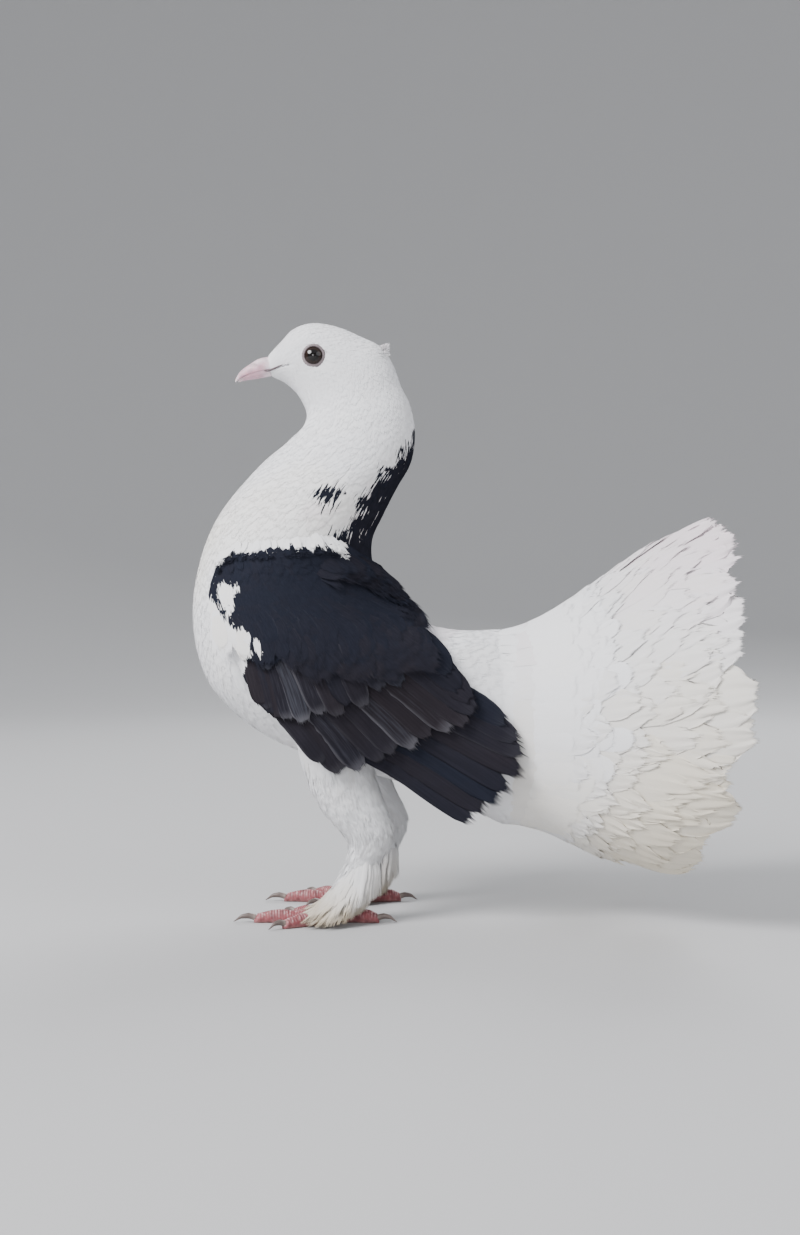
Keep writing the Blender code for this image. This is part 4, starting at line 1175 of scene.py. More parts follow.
@dataclass
class Finishes:
    """All the materials of the bird."""

    def __post_init__(self) -> None:
        """Builds each material once."""
        barbs = barb_group()
        self.coat = Plumage("white and black plumage").make(barbs)
        self.skin = Plumage("skin under the plumage", roughness=0.8, bump=0.0).make(barbs)
        self.wing = Plumage(
            "black wing plumage", blush=(0.84, 0.84, 0.86), roughness=0.5, bump=0.15, lines=30.0, blotch=0.08,
        ).make(barbs)
        self.tail = Plumage(
            "white tail plumage", white=(0.82, 0.825, 0.85), cream=(0.76, 0.70, 0.58), bump=0.12, lines=60.0,
            blotch=0.05, tip_tint=0.6,
        ).make(barbs)
        # Painted shade: the leg plumage's white and cream are darker than the body's, for the shade under the
        # body; the cream and brown towards the feet are also the tufts' own dirt.
        self.leg = Plumage(
            "leg plumage", white=(0.73, 0.735, 0.75), cream=(0.56, 0.49, 0.38), blush=(0.33, 0.275, 0.20),
            tip_tint=0.6,
        ).make(barbs)
        # The bill finish's dark colour is painted shade: the shade in the nostrils and the shadow line of the
        # mouth's crease.
        self.bill = Horn(
            "pink bill",
            (0.56, 0.335, 0.40), (0.78, 0.69, 0.71), (0.76, 0.69, 0.73), (0.10, 0.07, 0.08), 0.42,
            subsurface=0.15,
        ).make()
        self.lid = Horn(
            "eye ring",
            (0.22, 0.18, 0.19), (0.09, 0.07, 0.075), (0.45, 0.38, 0.38), (0.03, 0.02, 0.02), 0.5, 900.0
        ).make()
        self.foot = Horn(
            "red scaled skin",
            (0.27, 0.062, 0.072), (0.38, 0.17, 0.165), (0.54, 0.34, 0.34), (0.11, 0.03, 0.035),
            0.6, 500.0, 0.08,
        ).make()
        self.claw = Horn(
            "dark claw",
            (0.13, 0.10, 0.09), (0.36, 0.29, 0.26), (0.05, 0.04, 0.04), (0.02, 0.02, 0.02), 0.35, 900.0
        ).make()
        self.eye = EyeGloss().make()


# Markings


@dataclass
class Markings:
    """Where the plumage is black and where it is cream, the same for skin and coat."""

    strip: Rows = (
        (9.6, -20.0), (10.1, 16.0), (10.6, 33.0), (11.3, 43.0), (12.0, 47.0), (13.0, 46.0), (13.9, 44.0),
        (14.4, 60.0), (14.9, 96.0), (17.3, 96.0), (17.8, 66.0), (18.2, 20.0), (18.6, -20.0),
    )
    white_outlines: tuple[Rows, ...] = (
        (
            (-108.0, 136.6), (-97.4, 134.2), (-95.2, 132.4), (-94.2, 131.0), (-93.2, 129.0), (-91.6, 126.2),
            (-89.2, 123.6), (-85.6, 121.4), (-82.8, 121.0), (-80.9, 119.4), (-81.8, 116.2), (-80.3, 112.9),
            (-82.0, 110.9), (-83.2, 109.7), (-83.4, 106.9), (-86.4, 104.1), (-88.4, 100.5), (-108.0, 97.3),
        ),
        (
            (-95.0, 140.3), (-92.4, 139.9), (-89.2, 139.1), (-86.4, 138.3), (-86.0, 136.6), (-89.0, 135.8),
            (-88.0, 132.6), (-87.6, 130.2), (-89.6, 129.4), (-88.8, 126.6), (-91.2, 129.4), (-94.0, 133.0),
            (-94.8, 136.6),
        ),
        (
            (-79.5, 118.2), (-77.9, 117.4), (-76.5, 114.5), (-76.3, 112.5), (-77.9, 111.3), (-79.5, 113.3),
            (-79.9, 115.8),
        ),
    )
    spots: Rows = (
        (-52.3, 176.0, 6.6, 5.4, 0.95), (-46.0, 158.5, 6.0, 5.4, 0.95), (-54.0, 153.5, 4.5, 2.6, 0.7),
    )
    arc: float = 30.0
    row: float = 12.0
    hair_wide: float = 1.5
    hair_long: float = 9.0

    def hairs(self, along: Array, across: Array, seed: int) -> Array:
        """Waves drawn out along the feathers, about -1 to 1."""
        stretched = np.stack([along / self.hair_long, across / self.hair_wide, np.zeros_like(across)], -1)
        return ripple(stretched, 1.0, seed) + 0.5 * ripple(stretched * 2.1, 1.0, seed + 1)

    def body_ink(self, place: Array, turn: Array, points: Array) -> Array:
        """Share of black on the body at a place, turn and point.

        Args:
            place: place of each point along the body.
            turn: turn of each point from the back.
            points: the points in millimetres.

        Returns:
            Share of black from 0 to 1.
        """
        away = np.degrees(np.abs((turn + math.pi) % TURN - math.pi))
        hair = self.hairs(place * self.row, turn * self.arc, 5)
        slow = ripple(points, 9.0, 6)
        edge = table(place + 0.28 * hair + 0.15 * slow, self.strip) + 7.0 * slow + 5.0 * hair
        ink = smooth((edge - away) / 11.0 + 0.5)
        inside = smooth((away - 10.0) / 14.0) * smooth((15.0 - place) / 1.2)
        gap = smooth((hair + 0.6 * slow - 0.75) / 0.5) * inside
        ink = ink * (1.0 - 0.85 * gap)
        left = points[..., 1] < 0.0
        for x, z, wide, high, most in self.spots:
            spot = np.hypot((points[..., 0] - x) / wide, (points[..., 2] - z) / high)
            spot = smooth((1.0 - spot + 0.55 * hair) / 0.6) * most
            ink = np.maximum(ink, np.where(left, spot, spot * (ripple(points, 14.0, 12) > 0.3)))
        return ink

    def body_tint(self, place: Array, turn: Array, points: Array) -> Array:
        """Share of cream on the body.

        Args:
            place: place of each point along the body.
            turn: turn of each point from the back; not used.
            points: the points in millimetres.

        Returns:
            Share of cream from 0 to 1.
        """
        neck = smooth(1.0 - np.abs(place - 12.5) / 3.0) * 0.22
        vent = smooth((points[..., 0] - 5.0) / 40.0) * smooth((80.0 - points[..., 2]) / 30.0) * 0.5
        return np.clip(neck + vent + 0.05 * ripple(points, 30.0, 3), 0.0, 1.0)

    def wing_ink(self, x: Array, z: Array) -> Array:
        """Share of black on a wing at a point in side view.

        Args:
            x: first coordinate of each point.
            z: height of each point over the floor.

        Returns:
            Share of black from 0 to 1.
        """
        hair = self.hairs(z, x, 21)
        ink = np.ones_like(x)
        for outline in self.white_outlines:
            gap = outline_gap(x + 0.2 * hair, z + 1.1 * hair, outline)
            ink = np.minimum(ink, smooth(gap / 2.4 + 0.5))
        return ink

    def border_ink(self, x: Array, z: Array, border: Rows) -> Array:
        """Share of black on the feathers over a wing's upper border, which is white above it.

        Args:
            x: first coordinate of each point.
            z: height of each point over the floor.
            border: x and z along the wing's upper border.

        Returns:
            Share of black from 0 to 1.
        """
        hair = self.hairs(z, x + 0.25 * z, 24)
        below = table(x, border) - z + 1.3 * hair + 0.6 * ripple(np.stack([x, z, z * 0], -1), 9.0, 26)
        return np.maximum(smooth(below / 1.6 + 0.5), smooth((x + 47.0) / 5.0))


# Sub-assemblies


def body_chart(place: Array, turn: Array) -> Array:
    """Place on the bake map of a point of the body and the tail's root."""
    return np.stack([0.01 + 0.98 * (turn + math.pi) / TURN, 0.27 + 0.72 * np.clip(place / 28.5, 0, 1)], -1)


def leg_chart(side: Side, place: Array, turn: Array) -> Array:
    """Place on the bake map of a point of a leg."""
    start = 0.01 if side is Side.LEFT else 0.51
    return np.stack([start + 0.46 * turn / TURN, 0.01 + 0.24 * place / 10.0], -1)


def dress(piece: bpy.types.Object, material: bpy.types.Material, slot: Slot, *replaced: str) -> None:
    """Gives a piece its material, ties it to the part and reports it.

    Args:
        piece: the object.
        material: its material.
        slot: material slot of the record; not used.
        replaced: nodes that the piece stands for.
    """
    piece.data.materials.append(material)
    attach(piece, BODY)
    if replaced:
        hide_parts(*replaced)
    LOG.info("%s: %d faces", piece.name, len(piece.data.polygons))


def loft(
    name: str, rings: Array, marks: Array, vane: Array | None = None, chart: Array | None = None
) -> bpy.types.Object:
    """A closed smooth tube through rings of points.

    Args:
        name: the object's name.
        rings: rings of points, each without its first point again at the end.
        marks: marks of each point.
        vane: vane values of each point, or none.
        chart: places on the bake map, with each ring's first point again at the end, or none.

    Returns:
        The object.
    """
    count, sides = rings.shape[:2]
    row = np.arange(sides)
    after = (row + 1) % sides
    ring = np.stack([row, after, after + sides, row + sides], -1)
    first, top = count * sides, (count - 1) * sides
    tris = [
        np.stack([after, row, row * 0 + first], -1),
        np.stack([row + top, after + top, row * 0 + first + 1], -1),
    ]
    quads = [ring + r * sides for r in range(count - 1)]
    points = np.concatenate([rings.reshape(-1, 3), rings[[0, -1]].mean(1)])
    made = mesh_object(name, points, np.concatenate(quads), np.concatenate(tris))
    vane = np.zeros_like(marks) if vane is None else vane
    write_marks(made.data, *(np.concatenate([v.reshape(-1, 3), v[[0, -1], 0]]) for v in (vane, marks)))
    if chart is not None:
        here, there = chart[:, :-1], chart[:, 1:]
        spots = [np.stack([here[:-1], there[:-1], there[1:], here[1:]], 2)]
        spots += [np.stack([p, q, (p + q) / 2], 1) for p, q in ((there[0], here[0]), (here[-1], there[-1]))]
        write_chart(made.data, np.concatenate([spot.reshape(-1, 2) for spot in spots]))
    return made


@dataclass
class Skin:
    """One closed skin of head, neck, body and legs, under the coat."""

    body: BodyForm
    legs: dict[Side, LegForm]
    markings: Markings
    body_rings: int = 230
    body_sides: int = 96
    leg_rings: int = 60
    leg_sides: int = 40
    leg_end: float = 9.9
    leg_depth: float = 1.3
    depths: Rows = ((0.0, 0.15), (1.0, 0.5), (7.0, 0.9), (10.0, 1.4), (14.0, 1.9), (23.0, 2.2))
    vane: Triple = (0.4, 0.4, 0.5)

    def _tube(self, name: str, points: Array, marks: Array, chart: Array) -> bpy.types.Object:
        """A closed loft of rings whose first and last points are at one place."""
        vane = np.broadcast_to(self.vane, points.shape)
        return loft(name, points[:, :-1], marks[:, :-1], vane[:, :-1], chart)

    def build(self, finishes: Finishes) -> None:
        """Builds the skin and joins its parts into one closed surface.

        Args:
            finishes: the materials.
        """
        place = np.linspace(0.0, self.body.end, self.body_rings)
        turn = np.linspace(-math.pi, math.pi, self.body_sides + 1)
        a, b = np.meshgrid(place, turn, indexing="ij")
        points = self.body.point(a, b, -table(a, self.depths))
        ink = self.markings.body_ink(a, b, points)
        marks = np.stack([ink, self.markings.body_tint(a, b, points), ink * 0.3], -1)
        skin = self._tube("skin", points, marks, body_chart(a, b))
        for side, form in self.legs.items():
            place = np.linspace(0.0, self.leg_end, self.leg_rings)
            turn = np.linspace(0.0, TURN, self.leg_sides + 1)
            a, b = np.meshgrid(place, turn, indexing="ij")
            level = np.zeros_like(a)
            marks = np.stack([level, smooth((a - 6.0) / 4.0) * 0.7, level], -1)
            points = form.point(a, b, level - self.leg_depth)
            leg = self._tube("leg " + side.word, points, marks, leg_chart(side, a, b))
            joint = skin.modifiers.new("leg", "BOOLEAN")
            joint.operation, joint.solver, joint.object = "UNION", "EXACT", leg
            graph = bpy.context.evaluated_depsgraph_get()
            joined = bpy.data.meshes.new_from_object(skin.evaluated_get(graph))
            skin.modifiers.clear()
            skin.data = joined
            bpy.data.objects.remove(leg)
        skin.data.materials.clear()
        skin.data.polygons.foreach_set("use_smooth", np.ones(len(skin.data.polygons), bool))
        nodes = ("head", "neck", "torso", "rump", "thigh_left", "thigh_right", "shank_left", "shank_right")
        dress(skin, finishes.skin, Slot.WHITE, *nodes)


@dataclass
class BodyCoat:
    """The small feathers of head, neck, body and the root of the tail."""

    body: BodyForm
    markings: Markings
    spacing: Rows = (
        (0.0, 0.55), (1.0, 0.7), (3.0, 0.98), (7.0, 1.15), (10.0, 1.6), (13.0, 2.05), (18.0, 2.4),
        (23.0, 2.7), (25.0, 3.4), (28.0, 4.2),
    )
    length: Rows = (
        (0.0, 2.0), (1.0, 3.0), (3.0, 4.6), (7.0, 6.5), (10.0, 9.5), (13.0, 12.5), (18.0, 15.0), (23.0, 19.0),
        (25.0, 24.0), (28.0, 30.0),
    )
    width: Rows = (
        (0.0, 0.5), (1.0, 0.65), (3.0, 0.95), (7.0, 1.2), (10.0, 1.7), (13.0, 2.3), (18.0, 2.9), (23.0, 3.8),
        (25.0, 5.2), (28.0, 6.5),
    )
    base: Rows = (
        (0.0, -0.1), (1.0, -0.2), (7.0, -0.3), (10.0, -0.4), (14.0, -0.5), (22.0, -0.6), (23.0, -0.2),
        (24.0, 1.2), (28.0, 1.6),
    )
    top: Rows = (
        (0.0, 0.1), (1.0, 0.1), (7.0, 0.12), (10.0, 0.15), (14.0, 0.2), (22.0, 0.3), (23.0, 0.9), (24.0, 2.0),
        (28.0, 2.1),
    )
    shape: VaneShape = VaneShape((0.0, 0.45, 0.83), (0.45, 0.95, 0.85), 8, tip_round=0.16)
    long_shape: VaneShape = VaneShape(
        (0.0, 0.3, 0.6, 0.82, 0.93), (0.4, 0.8, 1.0, 0.95, 0.78), 12, tip_round=0.06
    )
    thin_from: float = 23.6
    eye_clear: float = 4.9
    mouth_clear: float = 0.5
    eye: tuple[float, float] = (-59.1, 237.2)
    mouth: Rows = ((-79.6, 231.9), (-71.0, 233.8))
    regions: tuple[tuple[str, float, float], ...] = (
        ("head_plumage", 0.0, 7.6),
        ("neck_plumage", 7.6, 12.3),
        ("breast_and_back_plumage", 12.3, 18.0),
        ("belly_and_rump_plumage", 18.0, 23.0),
        ("tail_root_plumage", 23.0, 26.2),
    )

    def _off_face(self, points: Array, length: Array) -> Array:
        """Whether a feather keeps clear of the eye and of the line of the mouth.

        Args:
            points: roots of the feathers.
            length: length of each feather.

        Returns:
            True for each feather that stays.
        """
        start, end = np.array(self.mouth)
        away = points[:, [0, 2]] - start
        t = np.clip(away @ (end - start) / ((end - start) @ (end - start)), 0, 1)
        mouth_gap = np.linalg.norm(away - t[:, None] * (end - start), axis=-1)
        x, z = points[:, 0] - self.eye[0], points[:, 2] - self.eye[1]
        lead = length * 0.6
        eye_gap = np.minimum(np.hypot(x, z), np.hypot(x + lead * 0.7, z - lead * 0.4))
        deep = np.abs(points[:, 1])
        return ((eye_gap > self.eye_clear) | (deep < 6.0)) & ((mouth_gap > self.mouth_clear) | (deep < 2.5))

    def _ink(self, place: Array, turn: Array) -> Array:
        """Share of black at a place and turn."""
        return self.markings.body_ink(place, turn, self.body.point(place, turn, np.zeros_like(place)))

    def build(self, finishes: Finishes) -> None:
        """Grows each region's feathers as one piece."""
        for index, (name, first, last) in enumerate(self.regions):
            seed = SEED + 1 + index
            a, b = scatter(
                self.body, (first, last), (-math.pi, math.pi), lambda p, _: table(p, self.spacing), seed
            )
            draw = np.random.default_rng(seed + 100)
            points = self.body.point(a, b, np.zeros(len(a)))
            length = table(a, self.length) * draw.uniform(0.85, 1.15, len(a))
            keep = np.ones(len(a), bool)
            if name == "head_plumage":
                keep = self._off_face(points, length)
                draw = np.random.default_rng(seed + 200)
            if last > self.thin_from:
                keep = draw.uniform(0.0, 1.0, len(a)) > smooth((a - self.thin_from) / (last - self.thin_from))
            a, b, points, length = a[keep], b[keep], points[keep], length[keep]
            number, width = len(a), table(a, self.width)
            lay = Lay.walk(self.body, a, b, length, draw.normal(0.0, 0.12, number))
            lift = draw.uniform(-0.03, 0.07, number) * np.clip(width / 3.0, 0.15, 1.0)
            ink = self.markings.body_ink(a, b, points)
            flock = Flock(
                half_width=width * draw.uniform(0.85, 1.15, number),
                root_height=table(a, self.base),
                tip_height=table(a, self.top) + lift,
                chance=draw.uniform(0, 1, number),
                ink=ink,
                tint=self.markings.body_tint(a, b, points),
                pale=ink * 0.3,
                camber=width * 0.03,
                curl=-0.07 * np.clip(width / 2.5, 0.2, 1.0),
                ragged=0.7,
                ink_map=self._ink if 7.0 < first < 20.0 else None,
            )
            vanes = Vanes(name)
            on_tail = first >= self.body.end
            shape = self.long_shape if on_tail else self.shape
            vanes.grow(self.body, lay, shape, flock, body_chart(a, b), seed + 300)
            dress(vanes.build(), finishes.coat, Slot.TAIL if on_tail else Slot.WHITE)


@dataclass
class LegCoat:
    """The soft feathers of thighs and shanks and the tufts that hang over the feet."""

    legs: dict[Side, LegForm]
    tufts: int = 900
    first_tuft: float = 6.6
    spacing: Rows = ((0, 2.1), (5, 1.5), (10, 1.2))
    length: Rows = ((0, 13.0), (4, 11.0), (6, 9.0), (10, 7.0))
    width: Rows = ((0, 2.6), (5, 1.8), (10, 1.6))
    shape: VaneShape = VaneShape((0.0, 0.4, 0.75), (0.5, 0.95, 0.8), 7, tip_round=0.16)
    tuft_shape: VaneShape = VaneShape((0.0, 0.3, 0.55, 0.75), (0.4, 0.9, 1.0, 0.8), 8, tip_round=0.2)

    def build(self, finishes: Finishes) -> None:
        """Grows both legs' feathers."""
        for index, (side, form) in enumerate(self.legs.items()):
            vanes = Vanes(f"leg_plumage_{side.word}")
            seed = SEED + 400 + index
            a, b = scatter(form, (1.0, 9.9), (0.0, TURN), lambda p, _: table(p, self.spacing), seed, 90)
            draw = np.random.default_rng(seed)
            number = len(a)
            length = table(a, self.length) * draw.uniform(0.8, 1.2, number)
            lay = Lay.walk(form, a, b, length, draw.normal(0.0, 0.16, number))
            back = smooth(np.cos(b) * 1.5)
            flock = Flock(
                half_width=table(a, self.width),
                root_height=-1.0,
                tip_height=0.2 + draw.uniform(-0.1, 0.4, number) + 1.2 * back * smooth((a - 2.0) / 2.0),
                chance=draw.uniform(0, 1, number),
                tint=np.clip(smooth((a - 6.5) / 4.5) * 0.7 + draw.normal(0, 0.05, number), 0, 1),
                pale=smooth((a - 8.6) / 1.4) * 0.25,
                camber=0.15,
                ragged=1.0,
            )
            vanes.grow(form, lay, self.shape, flock, leg_chart(side, a, b), seed + 10)
            self._tufts(vanes, side, form, seed + 20)
            dress(vanes.build(), finishes.leg, Slot.LEG)

    def _tufts(self, vanes: Vanes, side: Side, form: LegForm, seed: int) -> None:
        """Longer feathers round the foot that spread over it and hang to the floor.

        Args:
            vanes: the mesh to add to.
            side: the leg's side.
            form: the leg.
            seed: seed of the draw.
        """
        draw = np.random.default_rng(seed)
        number = self.tufts
        turn = draw.uniform(0, TURN, number)
        place = draw.uniform(self.first_tuft, 9.9, number)
        root = form.point(place, turn, np.full(number, -1.5))
        ahead, behind = smooth(-np.cos(turn) * 1.3), smooth(np.cos(turn) * 1.3)
        outer = np.clip(np.sin(turn), 0.0, 1.0)
        outward = unit(np.stack([np.cos(turn) - 0.45, side.value * np.sin(turn), np.zeros(number)], -1))
        low = smooth((place - self.first_tuft) / 2.6)
        reach = mix(mix(6.0, 9.5, ahead) + 9.5 * outer**1.5, 2.2, behind)
        reach = reach * mix(0.5, 1.1, low) * draw.uniform(0.85, 1.1, number)
        tip = root + outward * reach[:, None]
        tip[:, 2] = mix(0.6, 4.5, ahead * (1.0 - outer)) + 2.5 * behind + draw.uniform(0.0, 0.9, number)
        tip[:, 2] += 7.0 * (1.0 - low)
        middle = mix(root, tip, 0.45) + outward * 0.3 + np.array([0, 0, 0.8])
        centres = bent(root, middle, tip, 7)
        course = unit(np.gradient(centres, axis=1))
        across = unit(np.cross(course, outward[:, None] + np.array([0, 0, 0.4])))
        flock = Flock(
            half_width=draw.uniform(1.4, 2.1, number),
            chance=draw.uniform(0, 1, number),
            tint=np.clip(mix(0.3, 1.0, low) + 0.12 * ripple(tip, 6.0, 41), 0, 1),
            pale=np.clip(0.22 * low + 0.35 * low * smooth(ripple(tip, 7.0, 42) - 0.1), 0, 1),
            camber=draw.uniform(0.3, 0.7, number),
            ragged=0.8,
        )
        chart = leg_chart(side, place, turn)
        normal = unit(np.cross(across, course))
        vanes.grow_free(centres, across, normal, self.tuft_shape, flock, chart, seed + 1)


@dataclass(frozen=True)
class Tier:
    """One row of a wing's large feathers: x and z of some roots and tips, and how the row lies."""

    courses: Rows
    number: int
    half_width: float
    heights: tuple[float, float]
    jitter: float
    bow: float = 0.045
    brown: float = 0.7
    rise: float = 0.45
    marked: bool = False


PRIMARIES = Tier(
    (
        (-62.0, 84.5, 7.0, 42.5), (-58.0, 88.5, 14.0, 46.5), (-54.0, 92.5, 20.0, 52.0),
        (-50.0, 96.5, 25.5, 58.5), (-46.0, 100.5, 28.5, 66.5), (-41.0, 104.5, 27.0, 75.0),
        (-36.0, 108.0, 21.5, 82.5),
    ),
    8, 5.6, (0.0, 0.2), 0.8, brown=0.3,
)
SECONDARIES = Tier(
    (
        (-76.5, 96.5, -52.0, 67.5), (-72.5, 99.5, -42.5, 64.0), (-67.0, 103.0, -33.0, 67.0),
        (-61.5, 106.5, -24.0, 71.0), (-56.0, 110.0, -15.0, 74.5), (-50.5, 113.5, -6.0, 78.0),
        (-45.5, 117.0, 3.5, 82.0), (-42.0, 120.5, 9.0, 86.5), (-39.5, 124.5, 6.0, 93.5),
        (-38.0, 129.0, -0.5, 101.0), (-38.0, 134.5, -10.0, 109.0),
    ),
    14, 5.6, (0.3, 3.0), 1.2,
)
GREATER_COVERTS = Tier(
    (
        (-84.5, 117.5, -75.5, 93.0), (-80.5, 119.0, -70.5, 87.0), (-77.0, 121.5, -64.0, 86.0),
        (-68.5, 124.5, -51.0, 87.5), (-60.0, 127.5, -37.5, 91.5), (-52.0, 131.0, -24.0, 99.0),
        (-44.0, 135.5, -13.0, 108.0),
    ),
    14, 4.6, (0.5, 4.1), 2.0, 0.03, marked=True,
)
MEDIAN_COVERTS = Tier(
    (
        (-89.0, 137.0, -82.0, 111.0), (-84.5, 138.5, -76.0, 107.5), (-77.5, 140.0, -65.0, 108.0),
        (-68.0, 142.0, -52.0, 110.5), (-58.5, 144.0, -39.0, 114.5), (-49.0, 145.5, -27.0, 119.5),
    ),
    15, 4.0, (0.5, 4.2), 2.6, 0.03, rise=0.9, marked=True,
)


@dataclass
class WingPlumage:
    """One wing: its plate, flight feathers, tiers of coverts and the small feathers over its shoulder."""

    side: Side
    form: WingForm
    markings: Markings
    tilt: float = 0.35
    skirt_number: int = 420
    tiers: tuple[Tier, ...] = (PRIMARIES, SECONDARIES, GREATER_COVERTS, MEDIAN_COVERTS)
    quill_shape: VaneShape = VaneShape(
        (0.0, 0.12, 0.25, 0.38, 0.5, 0.61, 0.71, 0.80, 0.87, 0.925, 0.965),
        (0.28, 0.6, 0.82, 0.92, 0.98, 1.0, 1.0, 0.97, 0.9, 0.76, 0.56),
        11, solid=True, tip_round=0.02, tip_narrow=0.9,
    )
    small_shape: VaneShape = VaneShape((0.0, 0.35, 0.65, 0.85), (0.5, 0.95, 1.0, 0.8), 11, tip_round=0.13)
    top_edge: Rows = ((-92.5, 150.5), (-70.0, 153.5), (-50.0, 151.0), (-36.0, 143.5))
    rear_edge: Rows = ((-36.0, 143.5), (-25.0, 124.0), (-20.0, 108.0), (-24.0, 92.0))
    bottom_edge: Rows = ((-85.0, 100.0), (-74.0, 89.0), (-58.0, 82.0), (-24.0, 92.0))
    front_edge: Rows = ((-92.5, 150.5), (-97.5, 139.0), (-93.0, 120.0), (-85.0, 100.0))
    border: Rows = (
        (-95.0, 147.0), (-91.5, 151.5), (-77.0, 152.8), (-62.7, 153.8), (-54.5, 154.5), (-44.0, 150.5),
        (-38.0, 146.0),
    )
    mantle: Rows = (
        (-60.0, 152.0, -48.0), (-48.0, 153.5, -52.0), (-40.0, 150.5, -56.0), (-33.5, 143.5, -59.0),
        (-28.0, 136.0, -60.0),
    )
    rims: tuple[tuple, ...] = (
        (0.8, (-96.4, 146.5), (-97.6, 139.5), (-96.0, 134.6), (-94.0, 131.2)),
        (0.35, (-92.6, 121.4), (-90.2, 117.4), (-87.4, 115.2)),
    )
    pale_spots: Rows = (
        (-35.0, 98.0, 4.0, 3.0), (-17.0, 74.0, 3.5, 3.0), (-65.0, 95.0, 5.0, 11.0), (-42.0, 66.0, 6.0, 3.0),
        (-3.0, 80.5, 4.0, 2.0), (-56.0, 92.0, 4.0, 8.0), (-38.0, 84.0, 3.0, 6.0),
    )

    def chart(self, x: Array, z: Array) -> Array:
        """Place on the bake map of a point of the wing."""
        return np.clip(np.stack([(x + 105.0) / 150.0, (z - 35.0) / 130.0], -1), 0.01, 0.99)

    def _plate(self) -> tuple[Array, Array]:
        """Grid of the plate's x and z, and how far it swells at each point.

        Returns:
            The x and z of each point of the grid, and its swell from 0 to 1.
        """
        p, q = np.meshgrid(np.linspace(0, 1, 41), np.linspace(0, 1, 31), indexing="ij")
        top, bottom = (curve_rows(edge, p * 3) for edge in (self.top_edge, self.bottom_edge))
        front, rear = (curve_rows(edge, q * 3) for edge in (self.front_edge, self.rear_edge))
        swell = (16 * p * (1 - p) * q * (1 - q)) ** 0.3
        p, q = p[..., None], q[..., None]
        high, low = (mix(*np.array((edge[0], edge[-1])), p) for edge in (self.top_edge, self.bottom_edge))
        return mix(top, bottom, q) + mix(front, rear, p) - mix(high, low, q), swell

    def _add_plate(self, vanes: Vanes) -> None:
        """Adds the fleshy plate under the feathers.

        Args:
            vanes: the mesh to add to.
        """
        spots, swell = self._plate()
        wide, high = swell.shape
        height = mix(0.3, 0.9, swell)
        faces = [self.form.point(spots[..., 0], spots[..., 1], up) for up in (height, -height)]
        cell = np.arange(swell.size).reshape(wide, high)
        a = cell[:-1, :-1].ravel()
        quad = np.stack([a, a + 1, a + 1 + high, a + high], -1)
        path = np.concatenate([cell[:, 0], cell[-1, 1:], cell[::-1, -1][1:], cell[0, ::-1][1:]])
        here, after = path[:-1], path[1:]
        edge = np.stack([here, after, after + swell.size, here + swell.size], -1)
        x, z = spots.reshape(-1, 2).T
        ink = self.markings.wing_ink(x, z)
        marks = np.stack([ink, ink * 0.0, ink * 0.0 + 0.3], -1)
        vane = np.broadcast_to([0.5, 0.4, 0.5], marks.shape)
        each = (np.tile(values, (2, 1)) for values in (vane, marks, self.chart(x, z)))
        quads = np.concatenate([quad, quad[:, ::-1] + swell.size, edge])
        vanes.add(quads, np.zeros((0, 3), int), np.stack(faces).reshape(-1, 3), *each)

    def _tiers(self, vanes: Vanes, seed: int) -> None:
        """Adds the flight feathers and the tiers of large coverts."""
        for index, tier in enumerate(self.tiers):
            draw = np.random.default_rng(seed + index)
            count = tier.number
            course = curve_rows(tier.courses, np.linspace(0, len(tier.courses) - 1, count))
            course[:, 2:] += draw.uniform(-1.0, 1.0, (count, 2)) * tier.jitter
            root, along = course[:, :2], course[:, 2:] - course[:, :2]
            length = np.linalg.norm(along, axis=-1)
            arch = np.sin(np.clip(np.linspace(0, OVER, 13), 0, 1) * math.pi)
            near = np.zeros(count)
            for x, z, wide, high in self.pale_spots:
                for share in (0.75, 0.9, 1.0):
                    spot = root + along * share
                    gap = np.hypot((spot[:, 0] - x) / wide, (spot[:, 1] - z) / high)
                    near = np.maximum(near, smooth(1.6 - gap))
            brown = smooth((122.0 - root[:, 1] - along[:, 1] / 2) / 20.0) * tier.brown
            tint = np.clip(draw.uniform(0.0, 0.36, count) + 0.5 * near, 0, 1)
            flock = Flock(
                half_width=tier.half_width * draw.uniform(0.95, 1.06, count),
                root_height=tier.heights[0],
                tip_height=tier.heights[1],
                chance=draw.uniform(0, 1, count),
                ink=1.0,
                tint=tint,
                pale=np.clip(brown + draw.normal(0, 0.15, count), 0, 1),
                tilt=self.tilt,
                camber=0.35,
                curl=-0.1,
                rise=tier.rise,
                thick=0.3,
                ragged=0.6,
                fray=0.05,
                lace=0.012,
                wave=0.03,
                ink_map=self.markings.wing_ink if tier.marked else None,
            )
            slots = np.stack([0.04 + 0.066 * np.arange(count), np.full(count, 0.12 + 0.24 * index)], -1)
            lay = Lay.sweep(root, along, -tier.bow * length[:, None] * arch)
            vanes.grow(self.form, lay, self.quill_shape, flock, slots, seed + 50 + index, (0.05, 0.16))

    def _small(
        self, vanes: Vanes, root: Array, angle: Array, length: Array, flock: Flock, seed: int,
        bow: float = 0.0,
    ) -> None:
        """Adds a group of small feathers.

        Args:
            vanes: the mesh to add to.
            root: x and z of each root.
            angle: course of each feather in side view.
            length: length of each feather.
            flock: sizes and marks, apart from the chance.
            seed: seed of the draw.
            bow: how far the courses bend forwards, as a share of the length.
        """
        chance = np.random.default_rng(seed).uniform(0, 1, len(root))
        flock = replace(flock, chance=chance, camber=0.06, ragged=0.6)
        along = np.stack([np.cos(angle), np.sin(angle)], -1) * length[:, None]
        lay = Lay.sweep(root, along, bow * length[:, None] * np.linspace(0, OVER, 13) ** 2)
        vanes.grow(self.form, lay, self.small_shape, flock, self.chart(*root.T), seed + 1)

